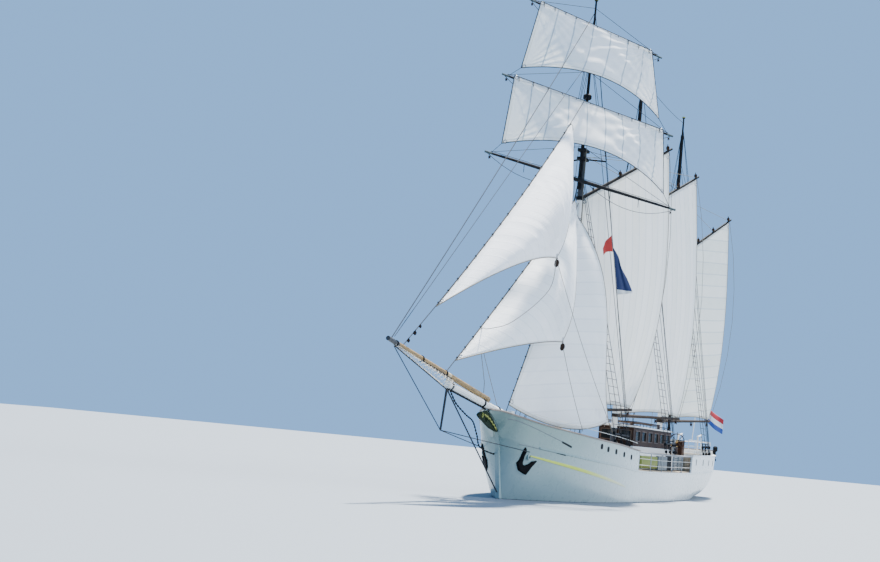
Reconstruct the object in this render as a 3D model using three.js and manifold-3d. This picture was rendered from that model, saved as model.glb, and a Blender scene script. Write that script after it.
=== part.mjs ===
// Three-masted topsail schooner under sail, on starboard tack, as a 1:2 scale model.
// Every size here is the full-size ship's, in metres: x forward of midships, y to port and
// z above the waterline. The last lines scale the group to the model's millimetres.
import * as THREE from 'three';
import Module from 'manifold-3d';
import { mergeVertices } from 'three/addons/utils/BufferGeometryUtils.js';

const wasm = await Module();
wasm.setup();

// Driving dimensions
const MODEL_SCALE = 0.5;
const MILLIMETRES = 1000;
const SEAT = 0.0006;              // gap between pieces that touch

const MAST_RAKE = Math.tan(THREE.MathUtils.degToRad(2.4));
const MAST_X = { fore: 9.8, main: -1.0, mizzen: -12.1 };      // at the waterline
const MAST_RADIUS = 0.19;
const TOPMAST_RADIUS = 0.12;
const TOPMAST_HEAD_RADIUS = 0.055;
const BULWARK_HEIGHT = 1.05;
const BULWARK_THICKNESS = 0.08;
const DECK_THICKNESS = 0.06;
const DRAUGHT = 2.8;
const KEEL_HALF_WIDTH = 0.11;
const SAIL_THICKNESS = 0.024;
const STAY_RADIUS = 0.022;
const SHROUD_RADIUS = 0.018;

// Hull: keel height, half-breadths at five heights from keel to deck, and those of the rail
//   x,     keel,  20 %, 40 %, 60 %, 80 %, deck, rail, rail height
const HULL_STATIONS = [
  [18.90, 3.00, 0.13, 0.15, 0.18, 0.21, 0.24, 1.04, 4.14],
  [18.55, 1.95, 0.20, 0.34, 0.48, 0.62, 0.74, 1.20, 4.08],
  [18.00, 0.15, 0.28, 0.52, 0.76, 0.98, 1.18, 1.42, 3.99],
  [17.00, -1.10, 0.46, 0.84, 1.14, 1.40, 1.60, 1.78, 3.85],
  [15.50, -1.90, 0.62, 1.30, 1.68, 1.98, 2.16, 2.25, 3.70],
  [13.50, -2.35, 1.05, 1.85, 2.26, 2.50, 2.62, 2.68, 3.54],
  [11.00, -2.55, 1.60, 2.40, 2.76, 2.92, 2.98, 3.01, 3.37],
  [8.00, -2.62, 2.05, 2.82, 3.08, 3.20, 3.24, 3.26, 3.21],
  [4.50, -2.66, 2.28, 3.03, 3.23, 3.31, 3.33, 3.34, 2.98],
  [0.00, -2.68, 2.30, 3.08, 3.27, 3.33, 3.35, 3.36, 2.92],
  [-5.00, -2.64, 2.00, 2.93, 3.20, 3.29, 3.32, 3.34, 2.92],
  [-9.00, -2.40, 1.50, 2.66, 3.06, 3.20, 3.26, 3.29, 2.95],
  [-12.00, -1.80, 1.10, 2.26, 2.86, 3.06, 3.14, 3.19, 2.99],
  [-14.50, -1.15, 0.95, 2.10, 2.72, 2.94, 3.04, 3.10, 3.03],
  [-16.40, -0.75, 1.25, 2.15, 2.60, 2.79, 2.90, 2.97, 3.06],
  [-18.20, -0.25, 1.35, 2.05, 2.38, 2.55, 2.66, 2.76, 3.09],
  [-19.70, 0.30, 1.28, 1.82, 2.08, 2.22, 2.32, 2.42, 3.11],
  [-20.60, 0.78, 0.98, 1.42, 1.66, 1.79, 1.88, 1.98, 3.12],
  [-21.20, 1.30, 0.50, 0.80, 0.98, 1.08, 1.16, 1.24, 3.13],
];
const [X, KEEL, DECK, RAIL, RAIL_HEIGHT] = [0, 1, 6, 7, 8];
const TRANSOM_X = HULL_STATIONS.at(-1)[X];

// Rail forward of the deck, out to the stem head: x, rail half-breadth and height, and foot height
const BOW_RAIL = [
  [19.40, 0.82, 4.22, 3.62],
  [20.00, 0.50, 4.32, 3.98],
  [20.62, 0.19, 4.33, 4.24],
];

function column(x, index) {
  const after = HULL_STATIONS.findIndex((row) => row[X] <= x);
  if (after === 0) return HULL_STATIONS[0][index];
  if (after < 0) return HULL_STATIONS.at(-1)[index];
  const [ahead, behind] = [HULL_STATIONS[after - 1], HULL_STATIONS[after]];
  const t = (x - ahead[X]) / (behind[X] - ahead[X]);
  return THREE.MathUtils.lerp(ahead[index], behind[index], t);
}
const deckHeight = (x) => column(x, RAIL_HEIGHT) - BULWARK_HEIGHT;
const onDeck = (...xs) => Math.max(...xs.map(deckHeight)) + SEAT;
const mastPoint = (mast, z, ahead = 0) => new THREE.Vector3(MAST_X[mast] - MAST_RAKE * z + ahead, 0, z);
const point = (x, y, z) => new THREE.Vector3(x, y, z);

// Colours
const PAINT = {
  white: { color: 0xe9ece8, roughness: 0.35, metalness: 0 },
  black: { color: 0x17181a, roughness: 0.45, metalness: 0 },
  canvas: { color: 0xe9e4d6, roughness: 0.85, metalness: 0 },
  varnish: { color: 0x6b4327, roughness: 0.35, metalness: 0 },
  spruce: { color: 0xb98a4e, roughness: 0.4, metalness: 0 },
  teak: { color: 0x9a7a55, roughness: 0.8, metalness: 0 },
  steel: { color: 0x8d9295, roughness: 0.4, metalness: 0.9 },
  bronze: { color: 0xa5793a, roughness: 0.35, metalness: 0.9 },
  navy: { color: 0x18224a, roughness: 0.8, metalness: 0 },
};

const schooner = new THREE.Group();

function add(name, geometry, paint) {
  const mesh = new THREE.Mesh(geometry, new THREE.MeshStandardMaterial(PAINT[paint]));
  mesh.name = name;
  schooner.add(mesh);
  return mesh;
}

// Solids: joining and cutting
function toSolid(geometry) {
  const plain = geometry.clone();
  for (const name of ['normal', 'uv']) plain.deleteAttribute(name);
  const merged = mergeVertices(plain.index ? plain.toNonIndexed() : plain, 1e-5);
  return new wasm.Manifold(new wasm.Mesh({
    numProp: 3,
    vertProperties: new Float32Array(merged.attributes.position.array),
    triVerts: new Uint32Array(merged.index.array),
  }));
}
function toGeometry(solid) {
  const mesh = solid.getMesh();
  const geometry = new THREE.BufferGeometry();
  geometry.setAttribute('position', new THREE.BufferAttribute(new Float32Array(mesh.vertProperties), 3));
  geometry.setIndex(new THREE.BufferAttribute(new Uint32Array(mesh.triVerts), 1));
  geometry.computeVertexNormals();
  return geometry;
}
const join = (pieces) => toGeometry(pieces.map(toSolid).reduce((sum, piece) => sum.add(piece)));
const cut = (body, tools) => toGeometry(tools.map(toSolid).reduce((rest, tool) => rest.subtract(tool), toSolid(body)));

// A closed skin over rings of points, each ring with the same count, ends capped by fans. The
// sides named in crossed are split along their other diagonal
function loft(rings, crossed = []) {
  const count = rings[0].length;
  const positions = rings.flat().flatMap((p) => [p.x, p.y, p.z]);
  const triangles = [];
  for (let ring = 0; ring < rings.length - 1; ring += 1) {
    for (let i = 0; i < count; i += 1) {
      const [a, b] = [ring * count + i, ring * count + ((i + 1) % count)];
      if (crossed.includes(i)) triangles.push(a, b, a + count, b, b + count, a + count);
      else triangles.push(a, b, b + count, a, b + count, a + count);
    }
  }
  const last = (rings.length - 1) * count;
  for (let i = 1; i < count - 1; i += 1) {
    triangles.push(0, i + 1, i);
    triangles.push(last, last + i, last + i + 1);
  }
  return closedGeometry(positions, triangles);
}

function closedGeometry(positions, triangles) {
  const geometry = new THREE.BufferGeometry();
  geometry.setAttribute('position', new THREE.Float32BufferAttribute(positions, 3));
  geometry.setIndex(signedVolume(positions, triangles) < 0 ? triangles.toReversed() : triangles);
  geometry.computeVertexNormals();
  return geometry;
}

function signedVolume(positions, triangles) {
  const vertex = (i) => new THREE.Vector3().fromArray(positions, 3 * i);
  let volume = 0;
  for (let i = 0; i < triangles.length; i += 3) {
    const [a, b, c] = [0, 1, 2].map((k) => vertex(triangles[i + k]));
    volume += a.dot(b.cross(c)) / 6;
  }
  return volume;
}

// Simple shapes placed in the ship's frame
// A round bar: one of its edges runs along its top, or along the front of an upright one
function rod(from, to, startRadius, endRadius = startRadius, sides = 10) {
  const axis = to.clone().sub(from);
  const geometry = new THREE.CylinderGeometry(endRadius, startRadius, axis.length(), sides);
  const along = axis.clone().normalize();
  const reference = Math.abs(along.z) > 0.9 ? point(1, 0, 0) : point(0, 0, 1);
  const across = along.clone().cross(reference).normalize();
  const frame = new THREE.Matrix4().makeBasis(across, along, across.clone().cross(along));
  const middle = from.clone().add(to).multiplyScalar(0.5);
  return geometry.applyMatrix4(frame.setPosition(middle));
}
// A round spar in one piece through several points in line, with a radius at each
function spar(points, radii, sides = 10) {
  const along = points.at(-1).clone().sub(points[0]).normalize();
  const across = along.clone().cross(point(0, 0, 1)).normalize();
  const upward = across.clone().cross(along);
  return loft(points.map((p, k) => Array.from({ length: sides }, (_, i) => {
    const angle = (2 * Math.PI * i) / sides;
    return p.clone().addScaledVector(upward, Math.cos(angle) * radii[k]).addScaledVector(across, Math.sin(angle) * radii[k]);
  })));
}
function box(xs, ys, zs) {
  const size = [xs, ys, zs].map(([low, high]) => high - low);
  const middle = [xs, ys, zs].map(([low, high]) => (low + high) / 2);
  return new THREE.BoxGeometry(...size).translate(...middle);
}
function plate(outline, low, high) {
  const shape = new THREE.Shape(outline.map(([x, z]) => new THREE.Vector2(x, z)));
  const geometry = new THREE.ExtrudeGeometry(shape, { depth: high - low, bevelEnabled: false });
  return geometry.rotateX(Math.PI / 2).translate(0, high, 0);
}

// Hull: lofted body, with the stem, keel, deadwood and stern frame as one centreline plate
function sectionSide(row) {
  const bottom = row[KEEL];
  const top = row[RAIL_HEIGHT] - BULWARK_HEIGHT - DECK_THICKNESS;
  const halfBreadths = [KEEL_HALF_WIDTH * 0.6, ...row.slice(2, 7)];
  const side = halfBreadths.map((half, i) => new THREE.Vector2(half, bottom + (top - bottom) * (i / 5)));
  return new THREE.SplineCurve(side).getPoints(9);
}
function hullSection(row) {
  const starboard = sectionSide(row).map((p) => point(row[X], -p.x, p.y));
  const port = starboard.map((p) => point(p.x, -p.y, p.z)).reverse();
  return [...starboard, ...port];
}
// Half-breadth of the hull's side at a place along and up
function hullHalf(x, z) {
  const after = HULL_STATIONS.findIndex((row) => row[X] <= x);
  const [ahead, behind] = [HULL_STATIONS[after - 1], HULL_STATIONS[after]];
  const t = (x - ahead[X]) / (behind[X] - ahead[X]);
  const [aheadSide, behindSide] = [sectionSide(ahead), sectionSide(behind)];
  const side = aheadSide.map((p, i) => p.clone().lerp(behindSide[i], t));
  const above = side.findIndex((p) => p.y >= z);
  const [low, high] = [side[above - 1], side[above]];
  return THREE.MathUtils.lerp(low.x, high.x, (z - low.y) / (high.y - low.y));
}

const APERTURE = { fore: -14.95, aft: -15.95, low: -2.55, high: -0.7 };
const centreline = [
  [20.75, 4.30], [19.9, 3.92], [19.12, 3.35], [18.78, 2.2], [18.35, 0.6], [18.05, -0.6], [17.3, -1.7],
  [16.0, -2.4], [14.0, -DRAUGHT], [-16.9, -DRAUGHT], [-16.9, APERTURE.low],
  [-16.2, APERTURE.low], [-16.2, -0.4], [-14.0, 0.2], [14.0, 0], [17.6, 0], [18.5, 2.7], [18.75, 3.2],
  [19.6, 3.95], [20.75, 4.34],
];
const aperture = box([APERTURE.aft, APERTURE.fore], [-1, 1], [APERTURE.low, APERTURE.high]);
const backbone = cut(plate(centreline, -KEEL_HALF_WIDTH, KEEL_HALF_WIDTH), [aperture]);
add('hull', join([loft(HULL_STATIONS.map(hullSection)), backbone]), 'white');

// Deck planking, inside the bulwarks
const deckRings = HULL_STATIONS.slice(1).map((row) => {
  const x = Math.max(row[X], TRANSOM_X + 0.06);
  const half = row[DECK] - BULWARK_THICKNESS - 0.03;
  const top = row[RAIL_HEIGHT] - BULWARK_HEIGHT;
  const low = top - DECK_THICKNESS + SEAT;
  return [point(x, -half, low), point(x, half, low), point(x, half, top), point(x, -half, top)];
});
add('deck', loft(deckRings), 'teak');

// Bulwarks: plating that stands on the hull's edge
function bulwark(rows, side) {
  const rings = rows.map(({ x, foot, head, footHeight, headHeight }) => {
    const inner = (half) => Math.max(half - BULWARK_THICKNESS, KEEL_HALF_WIDTH + 0.01);
    return [
      point(x, side * foot, footHeight), point(x, side * head, headHeight),
      point(x, side * inner(head), headHeight), point(x, side * inner(foot), footHeight),
    ];
  });
  return loft(rings, [2]);
}
const stationRow = (row) => ({
  x: row[X], foot: row[DECK], head: row[RAIL],
  footHeight: row[RAIL_HEIGHT] - BULWARK_HEIGHT - DECK_THICKNESS + SEAT, headHeight: row[RAIL_HEIGHT],
});
const bowRow = ([x, head, headHeight, footHeight]) => ({ x, foot: KEEL_HALF_WIDTH + 0.05, head, footHeight, headHeight });
const WAIST = { fore: 4.5, aft: -9.0 };
const foreRows = [...BOW_RAIL.map(bowRow).reverse(), ...HULL_STATIONS.filter((row) => row[X] >= WAIST.fore).map(stationRow)];
for (const [name, side] of [['port', 1], ['starboard', -1]]) {
  add(`bulwark_fore_${name}`, bulwark(foreRows, side), 'white');
}
const aftRows = HULL_STATIONS.filter((row) => row[X] <= WAIST.aft).map(stationRow);
const sternPost = box([TRANSOM_X - 0.08, TRANSOM_X + 0.01], [-1.2, 1.2], [aftRows.at(-1).footHeight, aftRows.at(-1).headHeight]);
add('bulwark_aft', join([bulwark(aftRows, 1), bulwark(aftRows, -1), sternPost]), 'white');

// Open rails in the waist: stanchions under a round rail
const WAIST_POSTS = [4.3, 1.65, -1.0, -3.65, -6.3, -8.8];
const waistPost = (x, side) => point(x, side * (column(x, RAIL) - 0.06), column(x, RAIL_HEIGHT) - 0.04);
function waistHead(x, side) {
  const after = Math.max(1, WAIST_POSTS.findIndex((post) => post <= x));
  const [ahead, behind] = [WAIST_POSTS[after - 1], WAIST_POSTS[after]];
  return waistPost(ahead, side).lerp(waistPost(behind, side), (ahead - x) / (ahead - behind));
}
for (const [name, side] of [['port', 1], ['starboard', -1]]) {
  const foot = (x) => point(x, side * (column(x, DECK) - 0.06), deckHeight(x) - DECK_THICKNESS + 2 * SEAT);
  const posts = WAIST_POSTS.map((x) => rod(foot(x), waistPost(x, side), 0.03, 0.03, 6));
  const rails = WAIST_POSTS.slice(1).map((x, i) => rod(waistPost(WAIST_POSTS[i], side), waistPost(x, side), 0.045, 0.045, 6));
  add(`rail_waist_${name}`, join([...posts, ...rails]), 'white');
}

// Midship trunk between the open rails, and the raised deck aft at the same height
const RAISED_DECK = 2.93;
const TRUNK = { fore: 4.3, aft: -9.15, half: 2.55 };
add('midship_trunk', box([TRUNK.aft, TRUNK.fore], [-TRUNK.half, TRUNK.half], [onDeck(TRUNK.fore), RAISED_DECK]), 'white');
const raisedPlaces = [TRUNK.aft - 0.01, ...HULL_STATIONS.map((row) => row[X]).filter((x) => x < WAIST.aft)];
const raisedRings = raisedPlaces.map((place) => {
  const x = Math.max(place, TRANSOM_X + 0.06);
  const half = column(place, DECK) - BULWARK_THICKNESS - 0.03;
  const low = deckHeight(place) + SEAT;
  return [point(x, -half, low), point(x, half, low), point(x, half, RAISED_DECK), point(x, -half, RAISED_DECK)];
});
add('raised_deck', loft(raisedRings), 'teak');

// Deckhouse: varnished walls with windows, and a roof
const HOUSE = { fore: -1.7, aft: -11.2, half: 1.15, top: 4.44, wall: 0.09 };
const houseFloor = RAISED_DECK + SEAT;
const houseShell = cut(box([HOUSE.aft, HOUSE.fore], [-HOUSE.half, HOUSE.half], [houseFloor, HOUSE.top]), [
  box(
    [HOUSE.aft + HOUSE.wall, HOUSE.fore - HOUSE.wall],
    [-HOUSE.half + HOUSE.wall, HOUSE.half - HOUSE.wall],
    [houseFloor - 1, HOUSE.top + 1],
  ),
]);
const WINDOW = { width: 0.95, low: 3.62, high: 4.2, count: 6 };
const windowCuts = [];
for (let i = 0; i < WINDOW.count; i += 1) {
  const x = THREE.MathUtils.lerp(HOUSE.fore - 0.95, HOUSE.aft + 0.95, i / (WINDOW.count - 1));
  windowCuts.push(box([x - WINDOW.width / 2, x + WINDOW.width / 2], [-3, 3], [WINDOW.low, WINDOW.high]));
}
for (const y of [-0.58, 0.58]) {
  windowCuts.push(box([HOUSE.fore - 1, HOUSE.fore + 1], [y - 0.38, y + 0.38], [WINDOW.low, WINDOW.high]));
}
windowCuts.push(box([HOUSE.aft - 1, HOUSE.aft + 1], [-0.35, 0.35], [houseFloor + 0.1, WINDOW.high]));
add('deckhouse_walls', cut(houseShell, windowCuts), 'varnish');
const [eave, roofThickness] = [0.12, 0.08];
add('deckhouse_roof', box(
  [HOUSE.aft - eave, HOUSE.fore + eave], [-HOUSE.half - eave, HOUSE.half + eave],
  [HOUSE.top + SEAT, HOUSE.top + roofThickness],
), 'white');

// Deck fittings
add('fore_hatch', box([5.6, 7.2], [-0.7, 0.7], [onDeck(7.2), onDeck(7.2) + 0.75]), 'varnish');
const WINDLASS_X = 14.6;
const windlassHeight = onDeck(WINDLASS_X) + 0.55;
add('windlass', join([
  rod(point(WINDLASS_X, -0.85, windlassHeight), point(WINDLASS_X, 0.85, windlassHeight), 0.22, 0.22, 12),
  ...[-0.6, 0.6].map((y) => box([WINDLASS_X - 0.2, WINDLASS_X + 0.2], [y - 0.08, y + 0.08], [onDeck(WINDLASS_X + 0.2), windlassHeight])),
]), 'black');
const raisedFloor = RAISED_DECK + SEAT;
add('aft_skylight', box([-15.6, -14.0], [-0.6, 0.6], [raisedFloor, raisedFloor + 0.55]), 'varnish');
const WHEEL = { x: -17.6, z: raisedFloor + 1.0, radius: 0.55 };
add('steering_box', join([
  box([WHEEL.x - 1.0, WHEEL.x - 0.25], [-0.35, 0.35], [raisedFloor, WHEEL.z + 0.12]),
  rod(point(WHEEL.x - 0.3, 0, WHEEL.z), point(WHEEL.x - 0.12, 0, WHEEL.z), 0.07, 0.07, 12),
]), 'varnish');
const spokes = [0, 1, 2, 3].map((i) => {
  const [y, z] = [Math.cos(i * Math.PI / 4), Math.sin(i * Math.PI / 4)].map((c) => c * (WHEEL.radius + 0.14));
  return rod(point(WHEEL.x, -y, WHEEL.z - z), point(WHEEL.x, y, WHEEL.z + z), 0.022, 0.022, 6);
});
const rim = new THREE.TorusGeometry(WHEEL.radius, 0.035, 6, 24).rotateY(Math.PI / 2).translate(WHEEL.x, 0, WHEEL.z);
const hub = rod(point(WHEEL.x - 0.12 + SEAT, 0, WHEEL.z), point(WHEEL.x + 0.08, 0, WHEEL.z), 0.1, 0.1, 12);
add('steering_wheel', join([rim, hub, ...spokes]), 'varnish');

// Bowsprit and jib boom
const BOWSPRIT = { heel: point(17.6, 0, 4.12), cap: point(25.7, 0, 5.235), radius: 0.19 };
const JIB_BOOM = { heel: point(20.6, 0, 4.82), tip: point(32.25, 0, 6.70), radius: 0.15, tipRadius: 0.1 };
add('bowsprit', join([
  rod(BOWSPRIT.heel, BOWSPRIT.cap, BOWSPRIT.radius, BOWSPRIT.radius * 0.9),
  box([17.35, 17.75], [-0.22, 0.22], [onDeck(17.75), 4.42]),
]), 'white');
const jibBoomSolid = rod(JIB_BOOM.heel, JIB_BOOM.tip, JIB_BOOM.radius, JIB_BOOM.tipRadius);
const bowspritRoom = rod(BOWSPRIT.heel, BOWSPRIT.cap, BOWSPRIT.radius + SEAT, BOWSPRIT.radius * 0.9 + SEAT);
const saddle = (x, z) => box([x - 0.1, x + 0.1], [-0.14, 0.14], [z, z + 0.35]);
add('jib_boom', cut(join([jibBoomSolid, saddle(20.9, 4.6), saddle(25.45, 5.15)]), [bowspritRoom]), 'spruce');
// Height of the top of a tapered spar in the plane y = 0
function topOf({ start, end, startRadius, endRadius }, x) {
  const t = (x - start.x) / (end.x - start.x);
  const slope = Math.atan2(end.z - start.z, end.x - start.x);
  const radius = THREE.MathUtils.lerp(startRadius, endRadius, t);
  return THREE.MathUtils.lerp(start.z, end.z, t) + radius / Math.cos(slope);
}
const jibBoomTop = (x) => topOf(
  { start: JIB_BOOM.heel, end: JIB_BOOM.tip, startRadius: JIB_BOOM.radius, endRadius: JIB_BOOM.tipRadius }, x,
);
const bowspritTop = (x) => topOf(
  { start: BOWSPRIT.heel, end: BOWSPRIT.cap, startRadius: BOWSPRIT.radius, endRadius: BOWSPRIT.radius * 0.9 }, x,
);

// Dolphin striker with the stays that hold the jib boom down
const STRIKER_FOOT = point(26.03, 0, 3.13);
const hullEye = (side) => point(17.55, side * (hullHalf(17.55, 2.45) + 1.25 * STAY_RADIUS), 2.45);
add('dolphin_striker', join([
  rod(point(25.72, 0, 5.02), STRIKER_FOOT, 0.06, 0.05, 8),
  rod(STRIKER_FOOT, point(31.6, 0, 6.42), STAY_RADIUS, STAY_RADIUS, 5),
  ...[-1, 1].map((side) => rod(STRIKER_FOOT, hullEye(side), STAY_RADIUS, STAY_RADIUS, 5)),
  rod(point(25.66, 0, 4.98), point(18.36, 0, 0.35), 0.035, 0.035, 6),
]), 'black');

// Masts
const DOUBLING = { fore: [17.8, 19.9], main: [19.8, 21.8], mizzen: [20.0, 21.9] };
const TRUCK = { fore: 28.8, main: 27.4, mizzen: 27.2 };
const TOPMAST_OFFSET = MAST_RADIUS + TOPMAST_RADIUS + 0.03;
const MAST_HEEL = { fore: onDeck(9.7) + 0.0027, main: RAISED_DECK + 0.009, mizzen: RAISED_DECK + 0.009 };
const MAST_TAPER = 0.86;
const MAST_SIDES = 24;
function mastRadius(mast, z) {
  const t = (z - MAST_HEEL[mast]) / (DOUBLING[mast][1] - MAST_HEEL[mast]);
  return MAST_RADIUS * THREE.MathUtils.lerp(1, MAST_TAPER, t);
}
function lowerMast(mast) {
  const ends = [MAST_HEEL[mast], DOUBLING[mast][1]];
  const [heel, head] = ends.map((z) => mastPoint(mast, z));
  return rod(heel, head, MAST_RADIUS, MAST_RADIUS * MAST_TAPER, MAST_SIDES);
}
// The fore crosstrees sit high, just under the cap, and reach further out
const CROSSTREE = { aft: 0.5, radius: 0.05, half: { fore: 1.2, main: 0.9, mizzen: 0.9 } };
const crosstreeHeight = (mast) => DOUBLING[mast][0] + (mast === 'fore' ? 1.5 : 0.55);
const crosstreeEnd = (mast, side) => mastPoint(mast, crosstreeHeight(mast)).add(
  point(-CROSSTREE.aft, side * CROSSTREE.half[mast], 0),
);
function topmast(mast) {
  const [heel, head] = DOUBLING[mast];
  const around = { ahead: TOPMAST_OFFSET + 0.16, behind: MAST_RADIUS + 0.1 };
  const band = (z) => {
    const middle = mastPoint(mast, z).x;
    return box([middle - around.behind, middle + around.ahead], [-0.24, 0.24], [z - 0.08, z + 0.08]);
  };
  const socket = rod(mastPoint(mast, heel - 2), mastPoint(mast, head + 2), mastRadius(mast, heel - 2) + SEAT,
    mastRadius(mast, head + 2) + SEAT, MAST_SIDES);
  const crosstrees = [-1, 1].map((side) => {
    const root = mastPoint(mast, crosstreeHeight(mast)).add(point(0.05, side * 0.15, 0));
    return rod(root, crosstreeEnd(mast, side), CROSSTREE.radius, CROSSTREE.radius, 8);
  });
  const bands = cut(join([band(crosstreeHeight(mast)), band(head - 0.1), ...crosstrees]), [socket]);
  return join([
    bands,
    rod(mastPoint(mast, heel - 0.3, TOPMAST_OFFSET), mastPoint(mast, TRUCK[mast] - 0.05, TOPMAST_OFFSET), TOPMAST_RADIUS,
      TOPMAST_HEAD_RADIUS, MAST_SIDES),
    rod(mastPoint(mast, TRUCK[mast] - 0.06, TOPMAST_OFFSET), mastPoint(mast, TRUCK[mast], TOPMAST_OFFSET), 0.1, 0.1),
  ]);
}
for (const mast of ['fore', 'main', 'mizzen']) {
  add(`${mast}_lower_mast`, lowerMast(mast), 'white');
  add(`${mast}_topmast`, topmast(mast), 'black');
}

// Sails: a bellied four-cornered slab. The foot and leech may arch, and the leech fall off, in metres
function sail({ luff, clew, peak, belly, columns = 7, rows = 9, ...arches }) {
  const { footArch = 0, leechArch = 0, leechSag = 0, leechFull = 0 } = arches;
  const side = (u, v) => {
    const p = luff(v).lerp(clew.clone().lerp(peak, v), u);
    p.addScaledVector(belly, 4 * u * (1 - u) * Math.sin(Math.PI * Math.min(1, 0.12 + 0.88 * v) ** 0.8));
    p.z += footArch * 4 * u * (1 - u) * (1 - v) ** 3;
    p.x -= leechArch * u ** 3 * 6.75 * v * (1 - v) ** 2;
    p.y += leechSag * u ** 2 * Math.sin(Math.PI * v ** 0.8);
    p.y += leechFull * u ** 2 * 6.75 * v ** 2 * (1 - v);
    return p;
  };
  return slab(side, columns, rows);
}
function slab(surface, columns, rows) {
  const skins = [-0.5, 0.5].map((offset) => {
    const grid = [];
    for (let j = 0; j <= rows; j += 1) {
      for (let i = 0; i <= columns; i += 1) {
        const [u, v] = [i / columns, j / rows];
        const along = surface(Math.min(u + 0.01, 1), v).sub(surface(Math.max(u - 0.01, 0), v));
        const up = surface(u, Math.min(v + 0.01, 1)).sub(surface(u, Math.max(v - 0.01, 0)));
        grid.push(surface(u, v).addScaledVector(along.cross(up).normalize(), offset * SAIL_THICKNESS));
      }
    }
    return grid;
  });
  const width = columns + 1;
  const size = width * (rows + 1);
  const triangles = [];
  for (let j = 0; j < rows; j += 1) {
    for (let i = 0; i < columns; i += 1) {
      const a = j * width + i;
      triangles.push(a, a + width, a + 1, a + 1, a + width, a + width + 1);
      triangles.push(size + a, size + a + 1, size + a + width, size + a + 1, size + a + width + 1, size + a + width);
    }
  }
  const edge = [];
  for (let i = 0; i < columns; i += 1) edge.push(i);
  for (let j = 0; j < rows; j += 1) edge.push(j * width + columns);
  for (let i = columns; i > 0; i -= 1) edge.push(rows * width + i);
  for (let j = rows; j > 0; j -= 1) edge.push(j * width);
  edge.forEach((a, i) => {
    const b = edge[(i + 1) % edge.length];
    triangles.push(a, b, size + b, a, size + b, size + a);
  });
  return closedGeometry(skins.flat().flatMap((p) => [p.x, p.y, p.z]), triangles);
}

// Stays, each resting on a spar at its foot and against a mast at its head
const topmastRadius = (mast, z) => {
  const heel = DOUBLING[mast][0] - 0.3;
  return THREE.MathUtils.lerp(TOPMAST_RADIUS, TOPMAST_HEAD_RADIUS, (z - heel) / (TRUCK[mast] - 0.05 - heel));
};
const onSpar = (x, top, seat) => point(x, 0, top(x) + seat);
const beforeTopmast = (z, seat) => mastPoint('fore', z, TOPMAST_OFFSET + topmastRadius('fore', z) + seat);
const beforeMast = (z, seat) => mastPoint('fore', z, mastRadius('fore', z) + seat);
// name: foot, head, sag to leeward
const STAYS = {
  topmast_stay: [onSpar(31.9, jibBoomTop, 0.0142), beforeTopmast(28.0, 0.0160), 0.1],
  outer_jib_stay: [onSpar(30.7, jibBoomTop, 0.0158), beforeTopmast(22.95, 0.0148), 0.42],
  middle_jib_stay: [onSpar(25.9, jibBoomTop, 0.0166), beforeMast(17.3, 0.0142), 0.1],
  fore_stay: [onSpar(18.0, bowspritTop, 0.0110), beforeMast(16.7, 0.0192), 0.05],
};
function stayCurve(name) {
  const [foot, head, sag] = STAYS[name];
  const middle = foot.clone().lerp(head, 0.5).add(point(0, 2 * sag, 0));
  return new THREE.QuadraticBezierCurve3(foot, middle, head);
}
const STAY_SIDES = 8;
const staySection = new THREE.Shape(Array.from({ length: STAY_SIDES }, (_, i) => {
  const angle = (2 * Math.PI * i) / STAY_SIDES;
  return new THREE.Vector2(Math.cos(angle), Math.sin(angle)).multiplyScalar(STAY_RADIUS);
}));
for (const name of Object.keys(STAYS)) {
  add(name, new THREE.ExtrudeGeometry(staySection, { steps: 8, extrudePath: stayCurve(name) }), 'steel');
}
const alongStay = (name, t) => stayCurve(name).getPoint(t);

// Headsails, hanked to the after side of their stays
// name, stay, tack and head along the stay, clew, belly to leeward, foot and leech arch, how far the
// upper leech falls off to leeward, and how far the middle of the luff stands off the stay's side
const HEADSAILS = [
  ['outer_jib', 'outer_jib_stay', 0.12, 0.86, [17.4, 1.8, 12.35], 1.3, 0.7, 1.3, 0, 0.0122],
  ['middle_jib', 'middle_jib_stay', 0.05, 0.95, [15.6, 1.85, 8.23], 1.1, 0.3, 1.4, 0, 0.0112],
  ['fore_staysail', 'fore_stay', 0.03, 0.95, [9.1, 2.7, 4.45], 0.6, -0.75, 0, 1, 0.0068],
];
for (const [name, stay, low, high, clew, depth, footArch, leechArch, leechFull, hank] of HEADSAILS) {
  const along = STAYS[stay][1].clone().sub(STAYS[stay][0]).normalize();
  const hanked = point(-along.z, 0, along.x).multiplyScalar(STAY_RADIUS + hank);
  const luff = (v) => alongStay(stay, THREE.MathUtils.lerp(low, high, v)).add(hanked);
  const peak = luff(1).add(point(-0.25, 0.03, -0.12));
  const belly = point(0.35, 1, 0).multiplyScalar(depth);
  add(name, sail({ luff, clew: point(...clew), peak, belly, footArch, leechArch, leechFull, rows: 8 }), 'canvas');
}

// Square rig on the fore topmast, braced round as one stack
const BRACE = THREE.MathUtils.degToRad(42);
const YARD_AHEAD = 0.38;
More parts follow.
